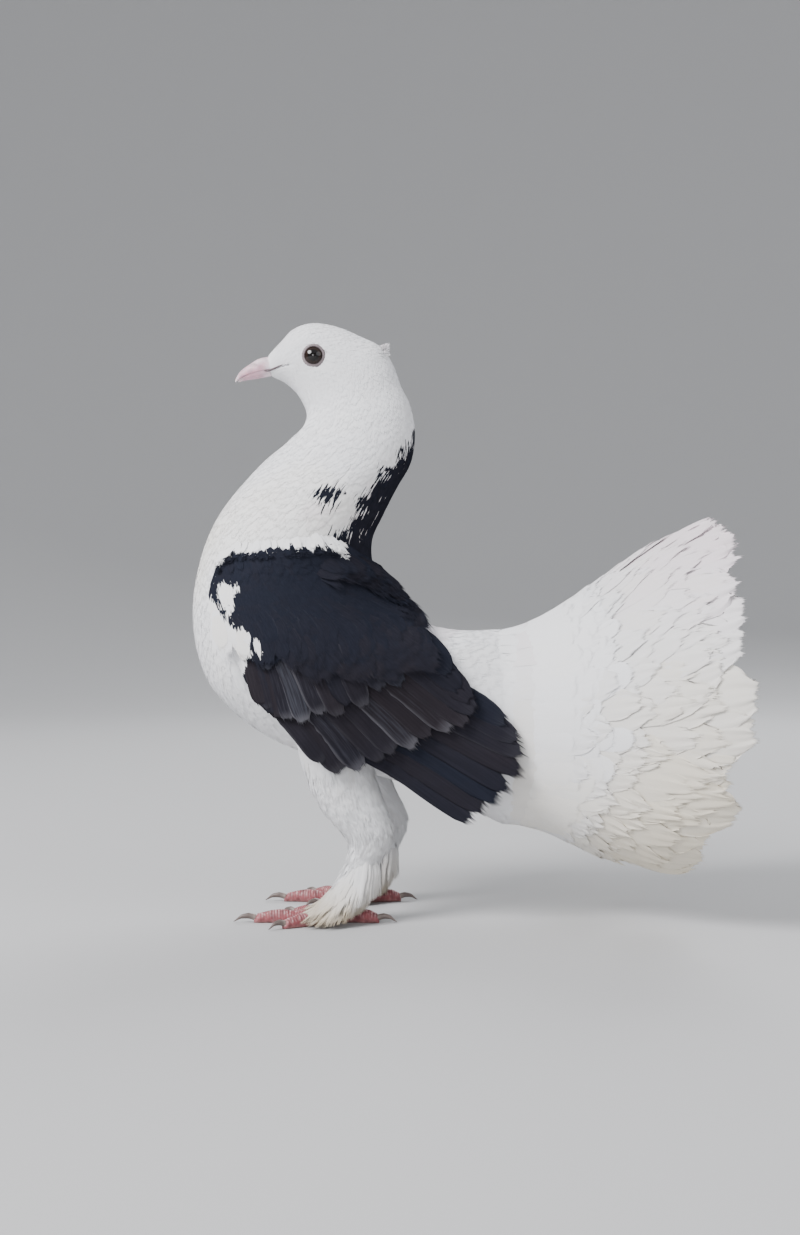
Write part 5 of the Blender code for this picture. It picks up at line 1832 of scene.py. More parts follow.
    def _lesser(self, vanes: Vanes, seed: int) -> None:
        """Adds the small feathers over the shoulder, which lie like roof tiles down the wing.

        Args:
            vanes: the mesh to add to.
            seed: seed of the draw.
        """
        draw = np.random.default_rng(seed)
        region = self._plate()[0][:, :17]
        rows = []
        for k, q in enumerate(np.linspace(0.0, 1.0, 19)):
            line = region[:, int(round(q * 16))]
            reach = np.concatenate([[0], np.cumsum(np.linalg.norm(np.diff(line, axis=0), axis=-1))])
            count = int(reach[-1] / mix(2.0, 3.0, q))
            at = (np.arange(count) + 0.5 * (k % 2) + 0.25) / count * reach[-1]
            rows.append(np.stack([np.interp(at, reach, line[:, 0]), np.interp(at, reach, line[:, 1])], -1))
        root = np.concatenate(rows)[::-1]
        root = root + draw.uniform(-0.9, 0.9, root.shape)
        x, z = root.T
        lower = smooth((150.0 - z) / 30.0)
        angle = np.radians(-78.0 + (x + 92.0) * 0.62) + draw.normal(0, 0.09, len(root))
        angle = angle + np.radians(14.0) * smooth((z - 138.0) / 14.0)
        length = mix(9.0, 17.0, lower) * draw.uniform(0.8, 1.2, len(root))
        flock = Flock(
            half_width=length * 0.22,
            root_height=mix(1.9, 4.0, lower),
            tip_height=mix(2.4, 4.9, lower) + draw.uniform(-0.04, 0.08, len(root)),
            tint=draw.uniform(0, 0.3, len(root)) * mix(0.3, 1.0, lower),
            pale=np.clip(smooth((130.0 - z) / 18.0) * 0.6 + draw.normal(0, 0.1, len(root)), 0, 1),
            ink_map=self.markings.wing_ink,
        )
        self._small(vanes, root, angle, length, flock, seed + 3)

    def _skirt(self, vanes: Vanes, seed: int) -> None:
        """Adds the white and black feathers that run from the neck over the wing's upper edge.

        Args:
            vanes: the mesh to add to.
            seed: seed of the draw.
        """
        draw = np.random.default_rng(seed)
        number = self.skirt_number
        place = draw.uniform(0.0, 1.0, number)
        over = draw.uniform(0.5, 7.5, number)
        root = curve_rows(self.border, place * (len(self.border) - 1)) + np.stack([-0.15 * over, over], -1)
        angle = np.radians(mix(-86.0, -58.0, place)) + draw.normal(0, 0.1, number)
        length = np.maximum(over + draw.uniform(0.5, 4.0, number), 5.0)
        flock = Flock(
            half_width=draw.uniform(1.1, 1.8, number),
            root_height=-2.5,
            tip_height=3.0 - np.clip((over - 1.0) / 6.5, 0, 1) * 1.2 + draw.uniform(-0.2, 0.4, number),
            tint=draw.uniform(0.0, 0.15, number),
            pale=0.1,
            ink_map=lambda x, z: self.markings.border_ink(x, z, self.border),
        )
        self._small(vanes, root, angle, length, flock, seed + 3)

    def _scapulars(self, vanes: Vanes, seed: int) -> None:
        """Adds the black feathers from the back over the wing's rear edge.

        Args:
            vanes: the mesh to add to.
            seed: seed of the draw.
        """
        draw = np.random.default_rng(seed)
        number = len(self.mantle) * 15
        place = (np.arange(number) + 0.5) / number
        first = curve_rows(self.mantle, place * (len(self.mantle) - 1))
        root = first[:, :2] + draw.uniform(-2.2, 2.2, (number, 2))
        length = mix(17.0, 25.0, place) * draw.uniform(0.9, 1.1, number)
        angle = np.radians(first[:, 2]) + draw.normal(0, 0.07, number)
        flock = Flock(
            half_width=draw.uniform(2.6, 3.6, number),
            root_height=0.3,
            tip_height=4.9 + draw.uniform(-0.5, 0.5, number),
            ink=1.0,
            tint=draw.uniform(0, 0.2, number),
            pale=np.clip(0.25 + draw.normal(0, 0.15, number), 0, 1),
        )
        self._small(vanes, root, angle, length, flock, seed + 3, -0.06)

    def _rim(self, vanes: Vanes, seed: int) -> None:
        """Adds the slender black feathers that border the white patches at the wing's front."""
        for index, (half_width, *spots) in enumerate(self.rims):
            course = curve_rows(spots, np.linspace(0, OVER, 13) * (len(spots) - 1))
            slope = unit(np.gradient(course, axis=0))
            course[11:] = course[10] + slope[10] * np.array([[1.0], [2.0]])
            lay = Lay(course[None, :, 0], course[None, :, 1], slope[None, :, 1], -slope[None, :, 0])
            flock = Flock(
                half_width=np.array([half_width]), root_height=1.6, tip_height=3.4, chance=0.37 + 0.1 * index,
                ink=1.0, rise=0.4, camber=0.2, ragged=0.8,
            )
            vanes.grow(self.form, lay, self.small_shape, flock, self.chart(*course[:1].T), seed + index)

    def build(self, finishes: Finishes) -> None:
        """Builds the wing as two pieces: the plate with the quills, and the small feathers.

        Args:
            finishes: the materials.
        """
        seed = SEED + (500 if self.side is Side.LEFT else 600)
        quills = Vanes(f"wing_{self.side.word}_quills")
        self._add_plate(quills)
        self._tiers(quills, seed)
        dress(quills.build(), finishes.wing, Slot.BLACK, f"wing_{self.side.word}")
        small = Vanes(f"wing_{self.side.word}_shoulder")
        self._lesser(small, seed + 80)
        self._scapulars(small, seed + 84)
        self._skirt(small, seed + 88)
        self._rim(small, seed + 92)
        dress(small.build(), finishes.wing, Slot.BLACK)


@dataclass
class VentForm(Form):
    """A low dome over the end of the body. Coordinates: share outwards from its middle, turn from the top."""

    tail: TailForm
    cap_x: float = 24.5
    bulge: float = 13.0
    middle_z: float = 64.0
    share: float = 0.97

    def point(self, a: Array, b: Array, height: Array) -> Array:
        """Points at a height over the dome.

        Args:
            a: first coordinate of each point.
            b: second coordinate of each point.
            height: height of each point over the surface, in millimetres.

        Returns:
            One point for each pair of coordinates.
        """
        a = np.minimum(a, 1.0)
        rim_z = self.tail.root_z + self.tail.root_half_height * self.share * np.cos(b)
        rim_y = -self.tail.root_half_width * self.share * np.sin(b)
        x = self.cap_x + self.bulge * (1.0 - a * a) + height * 0.9
        y = rim_y * a
        z = mix(self.middle_z, rim_z, a)
        return np.stack(np.broadcast_arrays(x, y, z), -1)


@dataclass
class TailPlumage:
    """The raised funnel of tail feathers with frayed tips, its coverts on both faces and the fluff in it."""

    form: TailForm
    last: int = 16
    half_width: float = 13.8
    stack: float = 0.24
    ends_left: tuple[float, ...] = (
        1.0, 0.985, 1.01, 1.02, 1.0, 0.965, 0.975, 0.95, 0.86, 0.99, 0.98, 0.90, 0.90, 1.0, 0.935, 0.965, 0.97
    )
    ends_right: tuple[float, ...] = (
        1.0, 1.01, 0.975, 1.0, 0.96, 1.0, 0.985, 0.93, 0.87, 0.98, 0.95, 0.91, 0.90, 0.98, 0.935, 0.95, 0.96
    )
    outer_tiers: Rows = (
        (34, 0.88, 10.0, 0.5), (36, 0.79, 9.0, 0.8), (38, 0.70, 8.2, 1.1), (38, 0.61, 7.6, 1.4),
        (38, 0.52, 7.2, 1.7), (38, 0.43, 7.0, 2.1),
    )
    inner_tiers: Rows = (
        (34, 0.76, 9.5, -1.2), (34, 0.62, 9.0, -1.9), (34, 0.50, 8.5, -2.6), (32, 0.39, 8.0, -3.4)
    )
    spread_radius: float = 76.0
    vent_number: int = 1050
    quill_shape: VaneShape = VaneShape(
        (*np.linspace(0, 0.8, 13), 0.85, 0.89, 0.92, 0.945, 0.965, 0.98),
        (*mix(0.14, 1.0, smooth(np.linspace(0, 0.8, 13) / 0.66)), 1.0, 0.98, 0.94, 0.87, 0.77, 0.62),
        31, solid=True, tip_round=0.04, tip_narrow=0.98,
    )
    covert_shape: VaneShape = VaneShape(
        (0.0, 0.2, 0.4, 0.55, 0.68, 0.78, 0.86, 0.92, 0.965),
        (0.3, 0.58, 0.82, 0.94, 1.0, 0.98, 0.91, 0.78, 0.58),
        19, tip_round=0.045,
    )
    fluff_shape: VaneShape = VaneShape((0.0, 0.35, 0.65, 0.85), (0.4, 0.9, 1.0, 0.8), 8, tip_round=0.16)

    def _grow(
        self, vanes: Vanes, turns: Array, ends: Array, half: float, height: float, pitch: float, seed: int,
        quill: bool = False,
    ) -> None:
        """Adds one tier of the tail.

        Args:
            vanes: the mesh to add to.
            turns: turn of each feather from the top.
            ends: place of each tip.
            half: half width of a feather.
            height: height of the tips over the funnel.
            pitch: turn between neighbours.
            seed: seed of the draw.
            quill: whether these are the long feathers.
        """
        draw = np.random.default_rng(seed)
        number = len(turns)
        first = 0.06 if quill else 0.02
        t = np.linspace(0, OVER, 15)[None, :]
        a = first + (ends[:, None] - first) * t
        b = turns[:, None] + draw.normal(0, 0.022, number)[:, None] * np.clip(t, 0, 1) ** 2
        root_radius = (self.form.root_half_height + self.form.root_half_width) / 2
        lay = Lay(a, b, np.zeros_like(a), 1.0 / mix(root_radius, self.form.rim_radius, smooth(a)))
        turned = (turns + math.pi) % TURN - math.pi
        away, sign = np.abs(turned), np.where(turned < 0, -1.0, 1.0)
        low = smooth((away - math.radians(50)) / math.radians(80))
        upper = smooth((math.radians(75) - away) / math.radians(50))
        reach = np.clip(ends, 0.4, 1.0)
        cream = mix(0.2, 1.0, low) * smooth((reach - 0.25) / 0.5)
        stack = self.stack * (1.0 if quill else 0.7) * np.sign(height + 0.5)
        flock = Flock(
            half_width=half * draw.uniform(0.92, 1.08, number),
            root_height=-1.0 if quill else math.copysign(0.4, height),
            tip_height=height + draw.uniform(-0.1, 0.1, number),
            chance=draw.uniform(0, 1, number),
            tint=np.clip(cream + draw.normal(0, 0.05, number), 0, 1),
            pale=np.clip(upper * 0.75 * smooth((reach - 0.45) / 0.5), 0, 1),
            tilt=sign * stack * half / (pitch * self.spread_radius) * (1.0 - 0.5 * upper),
            camber=draw.uniform(-0.2, 0.4, number),
            curl=(
                draw.normal(0.35, 0.15, number) * (1.0 + 1.4 * upper)
                if quill
                else draw.normal(0.1, 0.12, number)
            ),
            thick=0.16 if quill else 0.0,
            ragged=0.6,
            fray=0.05,
            lace=0.02 if quill else 0.035,
            frill=(0.45 + 0.35 * upper if quill else 0.1 + 0.18 * reach) * draw.uniform(0.4, 1.3, number),
            wave=0.02 if quill else 0.06,
        )
        shape = self.quill_shape if quill else self.covert_shape
        slots = np.stack([(turns / TURN + 0.5) % 1.0, np.clip(0.1 + 0.8 * ends, 0, 1)], -1)
        patch = (BAKE_PATCH, BAKE_PATCH)
        if quill:
            slots = np.stack([(np.arange(number) + 0.5) / number, np.full(number, 0.5)], -1)
            patch = (0.8 / number, 0.94)
        vanes.grow(self.form, lay, shape, flock, slots, seed + 7, patch)

    def _ring(self, vanes: Vanes, tiers: Rows, seed: int) -> None:
        """Adds rings of coverts.

        Args:
            vanes: the mesh to add to.
            tiers: number, place of the tips, half width and height of each ring.
            seed: seed of the draw.
        """
        draw = np.random.default_rng(seed)
        for tier, (count, end, half, height) in enumerate(tiers):
            turns = (np.arange(count) + 0.5 * (tier % 2)) / count * TURN - math.pi
            turns = turns + draw.normal(0, 0.04, count)
            under = smooth((np.abs(turns) - math.radians(142)) / math.radians(20))
            ends = end + draw.uniform(-0.075, 0.075, count) - 0.22 * under * smooth((end - 0.5) / 0.4)
            self._grow(vanes, turns, ends, half, height, TURN / count, seed + 1 + tier)

    def _vent(self, vanes: Vanes, seed: int) -> None:
        """Adds the soft feathers over the end of the body, inside the funnel.

        Args:
            vanes: the mesh to add to.
            seed: seed of the draw.
        """
        draw = np.random.default_rng(seed)
        form = VentForm(self.form)
        number = self.vent_number
        a = np.sqrt(draw.uniform(0.0, 0.7, number))
        b = draw.uniform(-math.pi, math.pi, number)
        length = draw.uniform(9.0, 15.0, number)
        lay = Lay.walk(form, np.maximum(a, 0.12), b, length, draw.normal(0.0, 0.6, number))
        flock = Flock(
            half_width=draw.uniform(1.5, 2.6, number),
            root_height=-1.0,
            tip_height=draw.uniform(2.0, 5.0, number),
            chance=draw.uniform(0, 1, number),
            tint=draw.uniform(0.1, 0.35, number),
            camber=0.25,
            ragged=1.0,
            lace=0.03,
        )
        slots = np.stack([b / TURN + 0.5, 0.02 + 0.2 * a], -1)
        vanes.grow(form, lay, self.fluff_shape, flock, slots, seed + 1)

    def build(self, finishes: Finishes) -> None:
        """Builds the long feathers, the coverts and the fluff.

        Args:
            finishes: the materials.
        """
        pitch = self.form.lowest_turn / self.last
        index = np.arange(-self.last, self.last + 1)
        quills, coverts, inner = (Vanes(f"tail_{word}") for word in ("quills", "coverts", "lining"))
        ends = np.array([(self.ends_left if i >= 0 else self.ends_right)[abs(i)] for i in index])
        self._grow(quills, index * pitch, ends, self.half_width, 0.0, pitch, SEED + 710, True)
        dress(quills.build(), finishes.tail, Slot.TAIL, "tail_centre", "tail_left", "tail_right")
        self._ring(coverts, self.outer_tiers, SEED + 720)
        dress(coverts.build(), finishes.tail, Slot.TAIL)
        self._ring(inner, self.inner_tiers, SEED + 740)
        self._vent(inner, SEED + 760)
        dress(inner.build(), finishes.tail, Slot.TAIL)


@dataclass
class Crest:
    """The low peak of pointed feathers at the nape."""

    root: tuple[float, float] = (-33.0, 240.4)
    tip: tuple[float, float] = (-27.0, 244.7)
    number: int = 210
    shape: VaneShape = VaneShape((0.0, 0.35, 0.75), (0.7, 1.0, 0.7), 6, tip_round=0.2)
    place: float = 6.2

    def build(self, finishes: Finishes) -> None:
        """Grows the crest.

        Args:
            finishes: the materials.
        """
        draw = np.random.default_rng(SEED + 800)
        number = self.number
        away = np.clip(draw.normal(0.0, 1.2, number), -3.0, 3.0)
        layer = draw.uniform(0.0, 1.0, number)
        root_x = self.root[0] + 0.5 * np.abs(away) + 4.6 * layer - 4.0
        root = np.stack([root_x, away * 2.2, self.root[1] - 0.14 * away**2 - 2.6 * layer + 0.5], -1)
        tip_x = self.tip[0] + 0.2 * np.abs(away) + draw.uniform(-1.6, 0.2, number)
        tip_z = self.tip[1] - 0.7 * np.abs(away) - 4.6 * layer**1.4 + draw.uniform(-0.5, 0.3, number)
        tip = np.stack([tip_x, away * 0.9, tip_z], -1)
        centres = bent(root, (root + tip) / 2 + np.array([0.6, 0.0, -0.9]), tip, 6)
        course = unit(np.gradient(centres, axis=1))
        across = np.zeros_like(course) + np.array([0.0, 1.0, 0.0])
        normal = unit(np.cross(course, across))
        roll = draw.uniform(-1.4, 1.4, number)[:, None, None]
        cos, sin = np.cos(roll), np.sin(roll)
        across, normal = cos * across + sin * normal, cos * normal - sin * across
        flock = Flock(
            half_width=draw.uniform(0.8, 1.3, number),
            chance=draw.uniform(0, 1, number),
            tint=0.05,
            pale=0.25 * (1.0 - layer),
            camber=0.1,
            ragged=0.8,
        )
        vanes = Vanes("crest")
        bake = body_chart(np.full(number, self.place), away * 0.12)
        vanes.grow_free(centres, across, normal, self.shape, flock, bake, SEED + 801)
        dress(vanes.build(), finishes.coat, Slot.WHITE)


@dataclass
class Bill:
    """The bill: upper half with its cere and nostrils, and the lower half."""

    root_x: float = -79.1
    sink: float = 1.2
    upper: Rows = (
        (0.0, 238.5, 232.9, 4.3), (3.4, 237.8, 232.3, 3.8), (6.4, 236.2, 231.5, 3.0),
        (10.0, 233.9, 230.4, 2.2), (12.6, 231.5, 228.9, 1.3), (14.2, 228.6, 227.6, 0.5),
    )
    lower: Rows = (
        (0.0, 233.2, 230.2, 3.9), (4.0, 232.5, 229.3, 3.3), (8.0, 231.2, 228.6, 2.3),
        (11.0, 229.9, 228.0, 1.3), (12.8, 228.5, 227.5, 0.5),
    )
    cere: Triple = (-82.7, 2.1, 236.1)
    nostril: Triple = (-85.2, 3.0, 234.6)
    steps: int = 44
    sides: int = 40

    def _half(self, rows: Rows, upward: bool) -> tuple[Array, Array]:
        """Rings of one half of the bill.

        Args:
            rows: way forwards, top, bottom and half width at some places.
            upward: whether the half is vaulted upwards.

        Returns:
            The rings, and each ring's share of the length.
        """
        share = np.linspace(0, 1, self.steps)[:, None]
        forward, top, bottom, half_width = curve_rows(rows, share[:, 0] * (len(rows) - 1)).T[..., None]
        base, vault = (bottom, top) if upward else (top, bottom)
        turn = np.linspace(0, TURN, self.sides, endpoint=False)[None]
        cos, sin = np.cos(turn), np.sin(turn)
        wide = half_width * np.sign(cos) * np.abs(cos) ** 0.85
        outer = (vault - base) * np.abs(sin) ** 0.9
        z = base + np.where(sin > 0, outer, -0.10 * (vault - base) * np.abs(sin))
        x = self.root_x + self.sink * (1 - share) ** 3 - forward + 0.0 * cos
        return np.stack([x, wide, z], -1), share

    def build(self, finishes: Finishes) -> None:
        """Builds both halves.

        Args:
            finishes: the materials.
        """
        rings, share = self._half(self.upper, True)
        marks = np.zeros_like(rings)
        for sign in (-1.0, 1.0):
            mirror = np.array([1, sign, 1])
            swell = np.exp(-(((rings - self.cere * mirror) / np.array([3.4, 2.2, 1.5])) ** 2).sum(-1))
            rings = rings + (swell * 0.75)[..., None] * unit(np.array([0.1, sign * 0.8, 0.55]))
            marks[..., 1] = np.maximum(marks[..., 1], smooth(swell * 1.7) * 0.45)
            slit = (rings - self.nostril * mirror) @ np.array([[0.94, 0, 0.3], [0, 1, 0], [-0.3, 0, 0.94]])
            dent = np.exp(-((slit / np.array([1.5, 1.4, 0.45])) ** 2).sum(-1))
            rings = rings - (dent * 0.5)[..., None] * np.array([0.0, sign, -0.2])
            # Painted shade: the nostril's dent is also darkened, standing for the shade in its opening.
            marks[..., 2] = np.maximum(marks[..., 2], smooth(dent * 1.4) * 0.5)
        # Painted highlight: the upper side of the upper half is blended part way to the pale colour along the
        # culmen; the pale tip is the bill's own colour.
        top = smooth((rings[..., 2] - rings[..., 2].mean(1, keepdims=True)) / 2.0)
        marks[..., 0] = np.maximum(smooth((share - 0.7) / 0.3), 0.3 * top)
        marks[..., 1] = np.maximum(marks[..., 1], smooth((0.22 - share) / 0.2) * 0.85)
        dress(loft("bill_upper_horn", rings, marks), finishes.bill, Slot.BILL, "bill_upper")
        rings, share = self._half(self.lower, False)
        marks = np.zeros_like(rings)
        marks[..., 0] = smooth((share - 0.6) / 0.4)
        marks[..., 1] = smooth((0.3 - share) / 0.3) * 0.7
        dress(loft("bill_lower_horn", rings, marks), finishes.bill, Slot.BILL, "bill_lower")


@dataclass
class Eye:
    """One eye with its ring of bare skin, and the painted shadow line of the mouth's crease on its side."""

    side: Side
    body: BodyForm
    centre: Triple = (-59.1, 7.7, 237.2)
    radius: float = 5.5
    ring_radius: float = 4.3
    ring_plane: float = 11.6
    ring_wide: float = 0.72
    ring_thick: float = 0.5
    mouth: Rows = (
        (-80.6, 231.9), (-78.4, 232.0), (-75.4, 232.9), (-72.3, 233.8), (-69.6, 233.5)
    )

    def build(self, finishes: Finishes) -> None:
        """Builds the eyeball, its ring and the painted shadow of the mouth's crease.

        Args:
            finishes: the materials.
        """
        sign = self.side.value
        centre = np.array(self.centre) * np.array([1, sign, 1])
        polar, turn = np.linspace(0.02, math.pi * 0.6, 40), np.linspace(0, TURN, 64, endpoint=False)
        p, q = np.meshgrid(polar, turn, indexing="ij")
        radius = self.radius * (1.0 + 0.05 * np.exp(-((p / 0.45) ** 2)))
        outward = np.stack([np.sin(p) * np.cos(q), sign * np.cos(p), np.sin(p) * np.sin(q)], -1)
        rings = centre + radius[..., None] * outward
        vane = np.stack([np.sin(p), q, np.zeros_like(p)], -1)
        if sign > 0:
            rings, vane = rings[:, ::-1], vane[:, ::-1]
        ball = loft(f"eyeball_{self.side.word}", rings[::-1], np.zeros_like(rings), vane[::-1])
        dress(ball, finishes.eye, Slot.EYE, f"eye_{self.side.word}")
        self._ring(finishes, centre, sign)
        self._mouth(finishes, sign)

    def _ring(self, finishes: Finishes, centre: Array, sign: int) -> None:
        """Builds the ring of bare skin round the eye.

        Args:
            finishes: the materials.
            centre: middle of the eyeball.
            sign: sign of the side.
        """
        turn, roll = np.linspace(0, TURN, 96, endpoint=False), np.linspace(0, TURN, 20, endpoint=False)
        q, r = np.meshgrid(turn, roll, indexing="ij")
        bead = 1.0 + 0.10 * np.sin(q * 26) * (np.cos(r) > -0.2)
        beyond = self.ring_wide * bead * np.cos(r)
        reach = self.ring_radius + beyond
        depth = self.ring_plane + self.ring_thick * bead * np.sin(r) - 0.35 * np.cos(q) ** 2 - 0.25 * beyond
        points = np.stack([centre[0] + reach * np.cos(q), sign * depth, centre[2] + reach * np.sin(q)], -1)
        marks = np.zeros_like(points)
        marks[..., 0] = smooth(-np.cos(r) * 1.4)
        marks[..., 2] = smooth(-np.cos(r) * 2.5 - 1.3) * 0.7
        cell = np.arange(q.size).reshape(q.shape)
        ahead, beside = np.roll(cell, -1, 0), np.roll(cell, -1, 1)
        quads = np.stack([cell, beside, np.roll(beside, -1, 0), ahead], -1).reshape(-1, 4)[:, ::sign]
        ring = mesh_object(f"eye_ring_{self.side.word}", points.reshape(-1, 3), quads, np.zeros((0, 3), int))
        marks = marks.reshape(-1, 3)
        write_marks(ring.data, marks * 0.0, marks)
        dress(ring, finishes.lid, Slot.EYE)

    def _side_point(self, x: Array, z: Array, height: float) -> Array:
        """Points of the head's side.

        Args:
            x: first coordinate of each point.
            z: height of each point over the floor.
            height: height over the head.

        Returns:
            One point for each pair of coordinates.
        """
        rows = curve_rows(self.body.stations, np.linspace(0.0, 6.0, 241))
        middle = (rows[:, [0, 1]] + rows[:, [2, 3]]) / 2
        deep = (rows[:, [2, 3]] - rows[:, [0, 1]]) / 2
        found = []
        for spot in np.stack([x, z], -1):
            share = ((spot - middle) * deep).sum(-1) / (deep**2).sum(-1)
            gap = np.linalg.norm(spot - middle - deep * share[:, None], axis=-1)
            k = int(np.argmin(gap + 99.0 * (np.abs(share) > 1)))
            turn = math.acos(np.clip(share[k], -1, 1))
            found.append([spot[0], (rows[k, 4] + height) * math.sin(turn), spot[1]])
        return np.array(found)

    def _mouth(self, finishes: Finishes, sign: int) -> None:
        """Builds the painted shadow in the crease of the mouth as a thin dark tapered roll.

        Args:
            finishes: the materials.
            sign: sign of the side.
        """
        t = np.linspace(0, 1, 26)
        x, z = curve_rows(self.mouth, t * (len(self.mouth) - 1)).T
        line = self._side_point(x, z, 0.05)
        line[:, 1] = np.maximum(line[:, 1], mix(3.4, 7.5, t)) * sign
        size = (0.42 * np.sin(np.clip(t * 1.25 + 0.05, 0, 1) * math.pi) ** 0.7 + 0.03)[:, None]
        roll = np.linspace(0, TURN, 10, endpoint=False)
        around = np.stack([0.0 * size * roll, np.cos(roll) * size * 0.8, np.sin(roll) * (size + 0.02)], -1)
        # Painted shadow: the whole roll takes the dark colour, standing for the shade in the mouth's crease.
        marks = np.zeros_like(around) + np.array([0.0, 0.0, 1.0])
        strip = loft(f"mouth_crease_shadow_{self.side.word}", line[:, None] + around, marks)
        dress(strip, finishes.bill, Slot.BILL)


@dataclass
class Foot:
    """One foot: scaled toes with curved claws."""

    side: Side
    leg: LegForm
    centre_x: float = -48.0
    centre_y: float = 23.5
    sink: float = 0.4
    toes: tuple[tuple[str, float, float, float], ...] = (
        ("middle", 3.0, 35.0, 8.5), ("outer", 36.0, 27.0, 7.0), ("inner", -33.0, 23.0, 7.0),
        ("hind", 172.0, 17.0, 7.5),
    )
    radii: tuple[float, ...] = (3.0, 3.0, 2.5, 2.6, 2.2, 2.0)
    places: tuple[float, ...] = (0.0, 0.25, 0.45, 0.62, 0.85, 1.0)
    scute: float = 1.15

    def _axes(self, heading: float) -> tuple[Array, Array, Array]:
        """Start of a toe, its direction in plan and the direction across it.

        Args:
            heading: degrees from straight ahead, outwards.

        Returns:
            The start, the direction and the direction across.
        """
        angle = math.radians(heading)
        centre_x = self.centre_x + float(self.leg.step_back(0.0))
        start = np.array([centre_x, self.side.value * self.centre_y, 0.0])
        ahead = np.array([-math.cos(angle), self.side.value * math.sin(angle), 0.0])
        return start, ahead, np.array([-ahead[1], ahead[0], 0.0])

    def _toe(self, heading: float, length: float) -> tuple[Array, Array]:
        """Rings of a toe and their marks.

        Args:
            heading: degrees from straight ahead, outwards.
            length: length from the middle of the foot.

        Returns:
            The rings and their marks.
        """
        start, ahead, across = self._axes(heading)
        share = np.linspace(0, 1, int(length / 0.28))
        radius = np.interp(share, self.places, self.radii) * (0.55 + 0.45 * smooth((1.0 - share) / 0.05))
        saw = (share * length / self.scute) % 1.0
        ridge = (1.0 - saw) ** 1.5 * smooth(saw * 8)
        turn = np.linspace(0, TURN, 28, endpoint=False)
        top = smooth(np.sin(turn) * 1.6 - 0.1)
        pads = smooth(-np.sin(turn)) * 0.06
        reach = radius[:, None] * (1.0 + 0.10 * ridge[:, None] * top + pads * np.sin(share * 12.0)[:, None])
        middle = start + ahead * (share * length)[:, None]
        rings = middle[:, None, :] + np.cos(turn)[:, None] * reach[..., None] * across
        arch = 0.9 * np.sin(share * TURN)[:, None] ** 2 * np.clip(np.sin(turn), 0, 1)
        rings[..., 2] = np.maximum((radius - self.sink)[:, None] + np.sin(turn) * reach + arch, 0.0)
        marks = np.zeros_like(rings)
        marks[..., 0] = smooth(-np.sin(turn) * 1.5) * 0.8
        draw = np.random.default_rng(int(abs(heading) * 7 + length * 3))
        scale = (share * length / self.scute).astype(int)
        inner = smooth((saw - 0.1) / 0.2) * smooth((0.95 - saw) / 0.3)
        worn = draw.uniform(0.0, 1.0, scale.max() + 1)[scale] * inner
        worn = worn[:, None] * 0.5 + 0.9 * smooth((ripple(rings, 1.7, 31) - 0.15) / 0.7)
        marks[..., 1] = np.clip(worn * (0.2 + 0.6 * top), 0, 1)
        dirty = 0.5 * smooth((ripple(rings, 3.1, 33) - 0.3) / 0.6)
        marks[..., 2] = np.clip(smooth((0.14 - saw) / 0.1)[:, None] * top * 0.7 + dirty, 0, 1)
        return rings, marks

    def _claw(self, heading: float, length: float, claw: float) -> tuple[Array, Array]:
        """Rings of a claw and their marks.

        Args:
            heading: degrees from straight ahead, outwards.
            length: length of the toe.
            claw: length of the claw.

        Returns:
            The rings and their marks.
        """
        start, ahead, across = self._axes(heading)
        share = np.linspace(0, 1, 22)
        thirds = (0, 0.33, 0.67, 1.0)
        radius = np.interp(share, thirds, (1.35, 1.2, 0.85, 0.14))
        bend = curve_rows(((0.0,), (0.75,), (0.35,), (-1.5,)), share * 3)[:, 0]
        rise = (np.interp(share, thirds, (0.0, 0.75, 0.35, -1.6)) + bend) / 2
        middle = start + ahead * (length - 0.8 + (claw + 0.8) * share)[:, None]
        middle[:, 2] = self.radii[-1] - self.sink + 0.5 + rise
        turn = np.linspace(0, TURN, 18, endpoint=False)[:, None]
        outward = np.cos(turn) * across * 0.82 + np.sin(turn) * np.array([0, 0, 1.0])
        rings = middle[:, None] + radius[:, None, None] * outward
        rings[..., 2] = np.maximum(rings[..., 2], 0.02)
        marks = np.zeros_like(rings)
        marks[..., 0] = smooth((0.35 - share) / 0.35)[:, None] * 0.6
        return rings, marks

    def build(self, finishes: Finishes) -> None:
        """Builds each toe and each claw as a piece of its own."""
        word = self.side.word
        for name, heading, length, claw in self.toes:
            toe = loft(f"toe_{word}_{name}", *self._toe(heading, length))
            dress(toe, finishes.foot, Slot.FOOT, *((f"foot_{word}",) if name == "middle" else ()))
            horn = loft(f"claw_{word}_{name}_horn", *self._claw(heading, length, claw))
            dress(horn, finishes.claw, Slot.CLAW, f"claw_{word}_{name}")


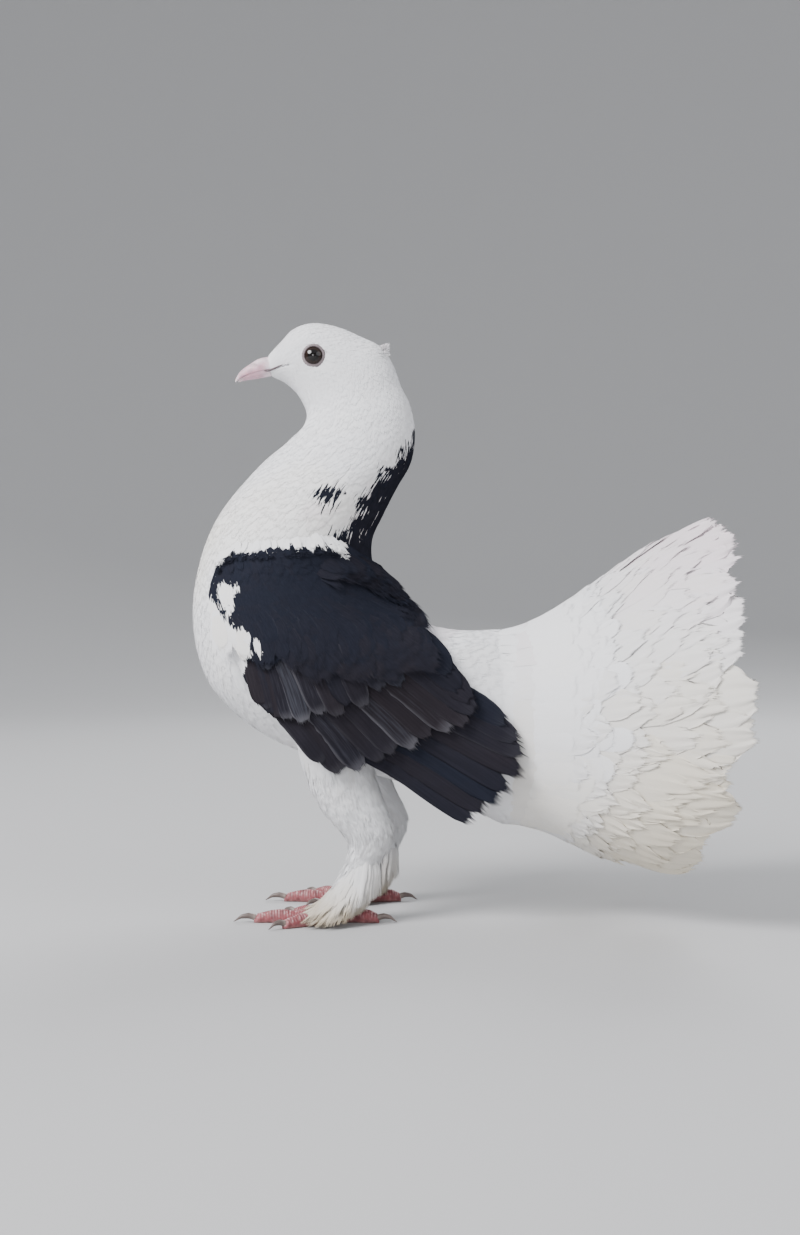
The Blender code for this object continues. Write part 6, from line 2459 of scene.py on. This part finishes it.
@dataclass
class Studio:
    """Floor, lights, world and camera."""

    camera_at: Triple = (-0.025, -0.700, 0.1264)
    frame_height: float = 1235.0
    focal_pixels: float = 1628.0
    sensor: float = 24.0
    lights: tuple[tuple[str, Triple, float, float, Triple], ...] = (
        ("key", (-1.2, -0.9, 1.35), 1.0, 62.0, (1.0, 0.99, 1.0)),
        ("front", (-0.25, -1.5, 0.42), 0.5, 5.0, (1.0, 1.0, 1.0)),
        ("fill", (1.3, -1.0, 0.9), 1.3, 7.0, (0.96, 0.97, 1.0)),
        ("back", (0.5, 1.3, 1.1), 1.0, 20.0, (0.97, 0.98, 1.0)),
    )
    lit_at: Triple = (0.0, 0.0, 0.13)
    sky_colour: tuple[float, ...] = (0.93, 0.96, 1.0, 1)
    sky_strength: float = 0.62
    floor_sides: int = 96
    floor_radius: float = 1500.0
    bend_radius: float = 1800.0
    wall_height: float = 2600.0

    def build(self) -> None:
        """Builds the studio."""
        bend = np.linspace(0.0, math.pi / 2, 14)
        radius = np.concatenate([[400.0, 1200.0], self.floor_radius + self.bend_radius * np.sin(bend)])
        radius = np.append(radius, radius[-1])
        height = np.concatenate([[0.0, 0.0], self.bend_radius * (1.0 - np.cos(bend)), [self.wall_height]])
        sides = self.floor_sides
        turn = np.linspace(0, TURN, sides, endpoint=False)
        radius, height = radius[:, None], height[:, None]
        rings = np.stack([radius * np.cos(turn), radius * np.sin(turn), height + 0.0 * turn], -1)
        row = np.arange(sides)
        after = (row + 1) % sides
        ring = np.stack([row, after, after + sides, row + sides], -1)
        quads = np.concatenate([ring + sides * r for r in range(len(radius) - 1)])
        middle = np.full(sides, rings[..., 0].size)
        points = np.concatenate([rings.reshape(-1, 3), np.zeros((1, 3))])
        floor = mesh_object("floor", points, quads, np.stack([after, row, middle], -1))
        floor.data.materials.append(Ground().make())
        for name, place, size, power, colour in self.lights:
            lamp = bpy.data.lights.new(name, "AREA")
            lamp.shape, lamp.size, lamp.energy, lamp.color = "DISK", size, power, colour
            holder = bpy.data.objects.new(name, lamp)
            holder.location = place
            course = Vector(self.lit_at) - Vector(place)
            holder.rotation_euler = course.to_track_quat("-Z", "Y").to_euler()
            bpy.context.scene.collection.objects.link(holder)
        world = bpy.data.worlds.new("studio")
        world.use_nodes = True
        sky = world.node_tree.nodes["Background"].inputs
        sky["Color"].default_value = self.sky_colour
        sky["Strength"].default_value = self.sky_strength
        bpy.context.scene.world = world
        lens = bpy.data.cameras.new("camera")
        lens.sensor_fit = "VERTICAL"
        lens.sensor_height = self.sensor
        lens.lens = self.sensor * self.focal_pixels / self.frame_height
        lens.clip_start = 0.01
        camera = bpy.data.objects.new("camera", lens)
        camera.location = self.camera_at
        camera.rotation_euler = (math.pi / 2, 0.0, 0.0)
        bpy.context.scene.collection.objects.link(camera)
        bpy.context.scene.camera = camera


def main() -> None:
    """Builds every sub-assembly in order."""
    Studio().build()
    finishes = Finishes()
    markings = Markings()
    body = BodyForm()
    legs = {side: LegForm(side=side) for side in Side}
    Skin(body, legs, markings).build(finishes)
    BodyCoat(body, markings).build(finishes)
    LegCoat(legs).build(finishes)
    for side in Side:
        WingPlumage(side, WingForm(side=side, body=body), markings).build(finishes)
        Eye(side, body).build(finishes)
        Foot(side, legs[side]).build(finishes)
    TailPlumage(body.tail).build(finishes)
    Crest().build(finishes)
    Bill().build(finishes)


if __name__ == "__main__":
    main()
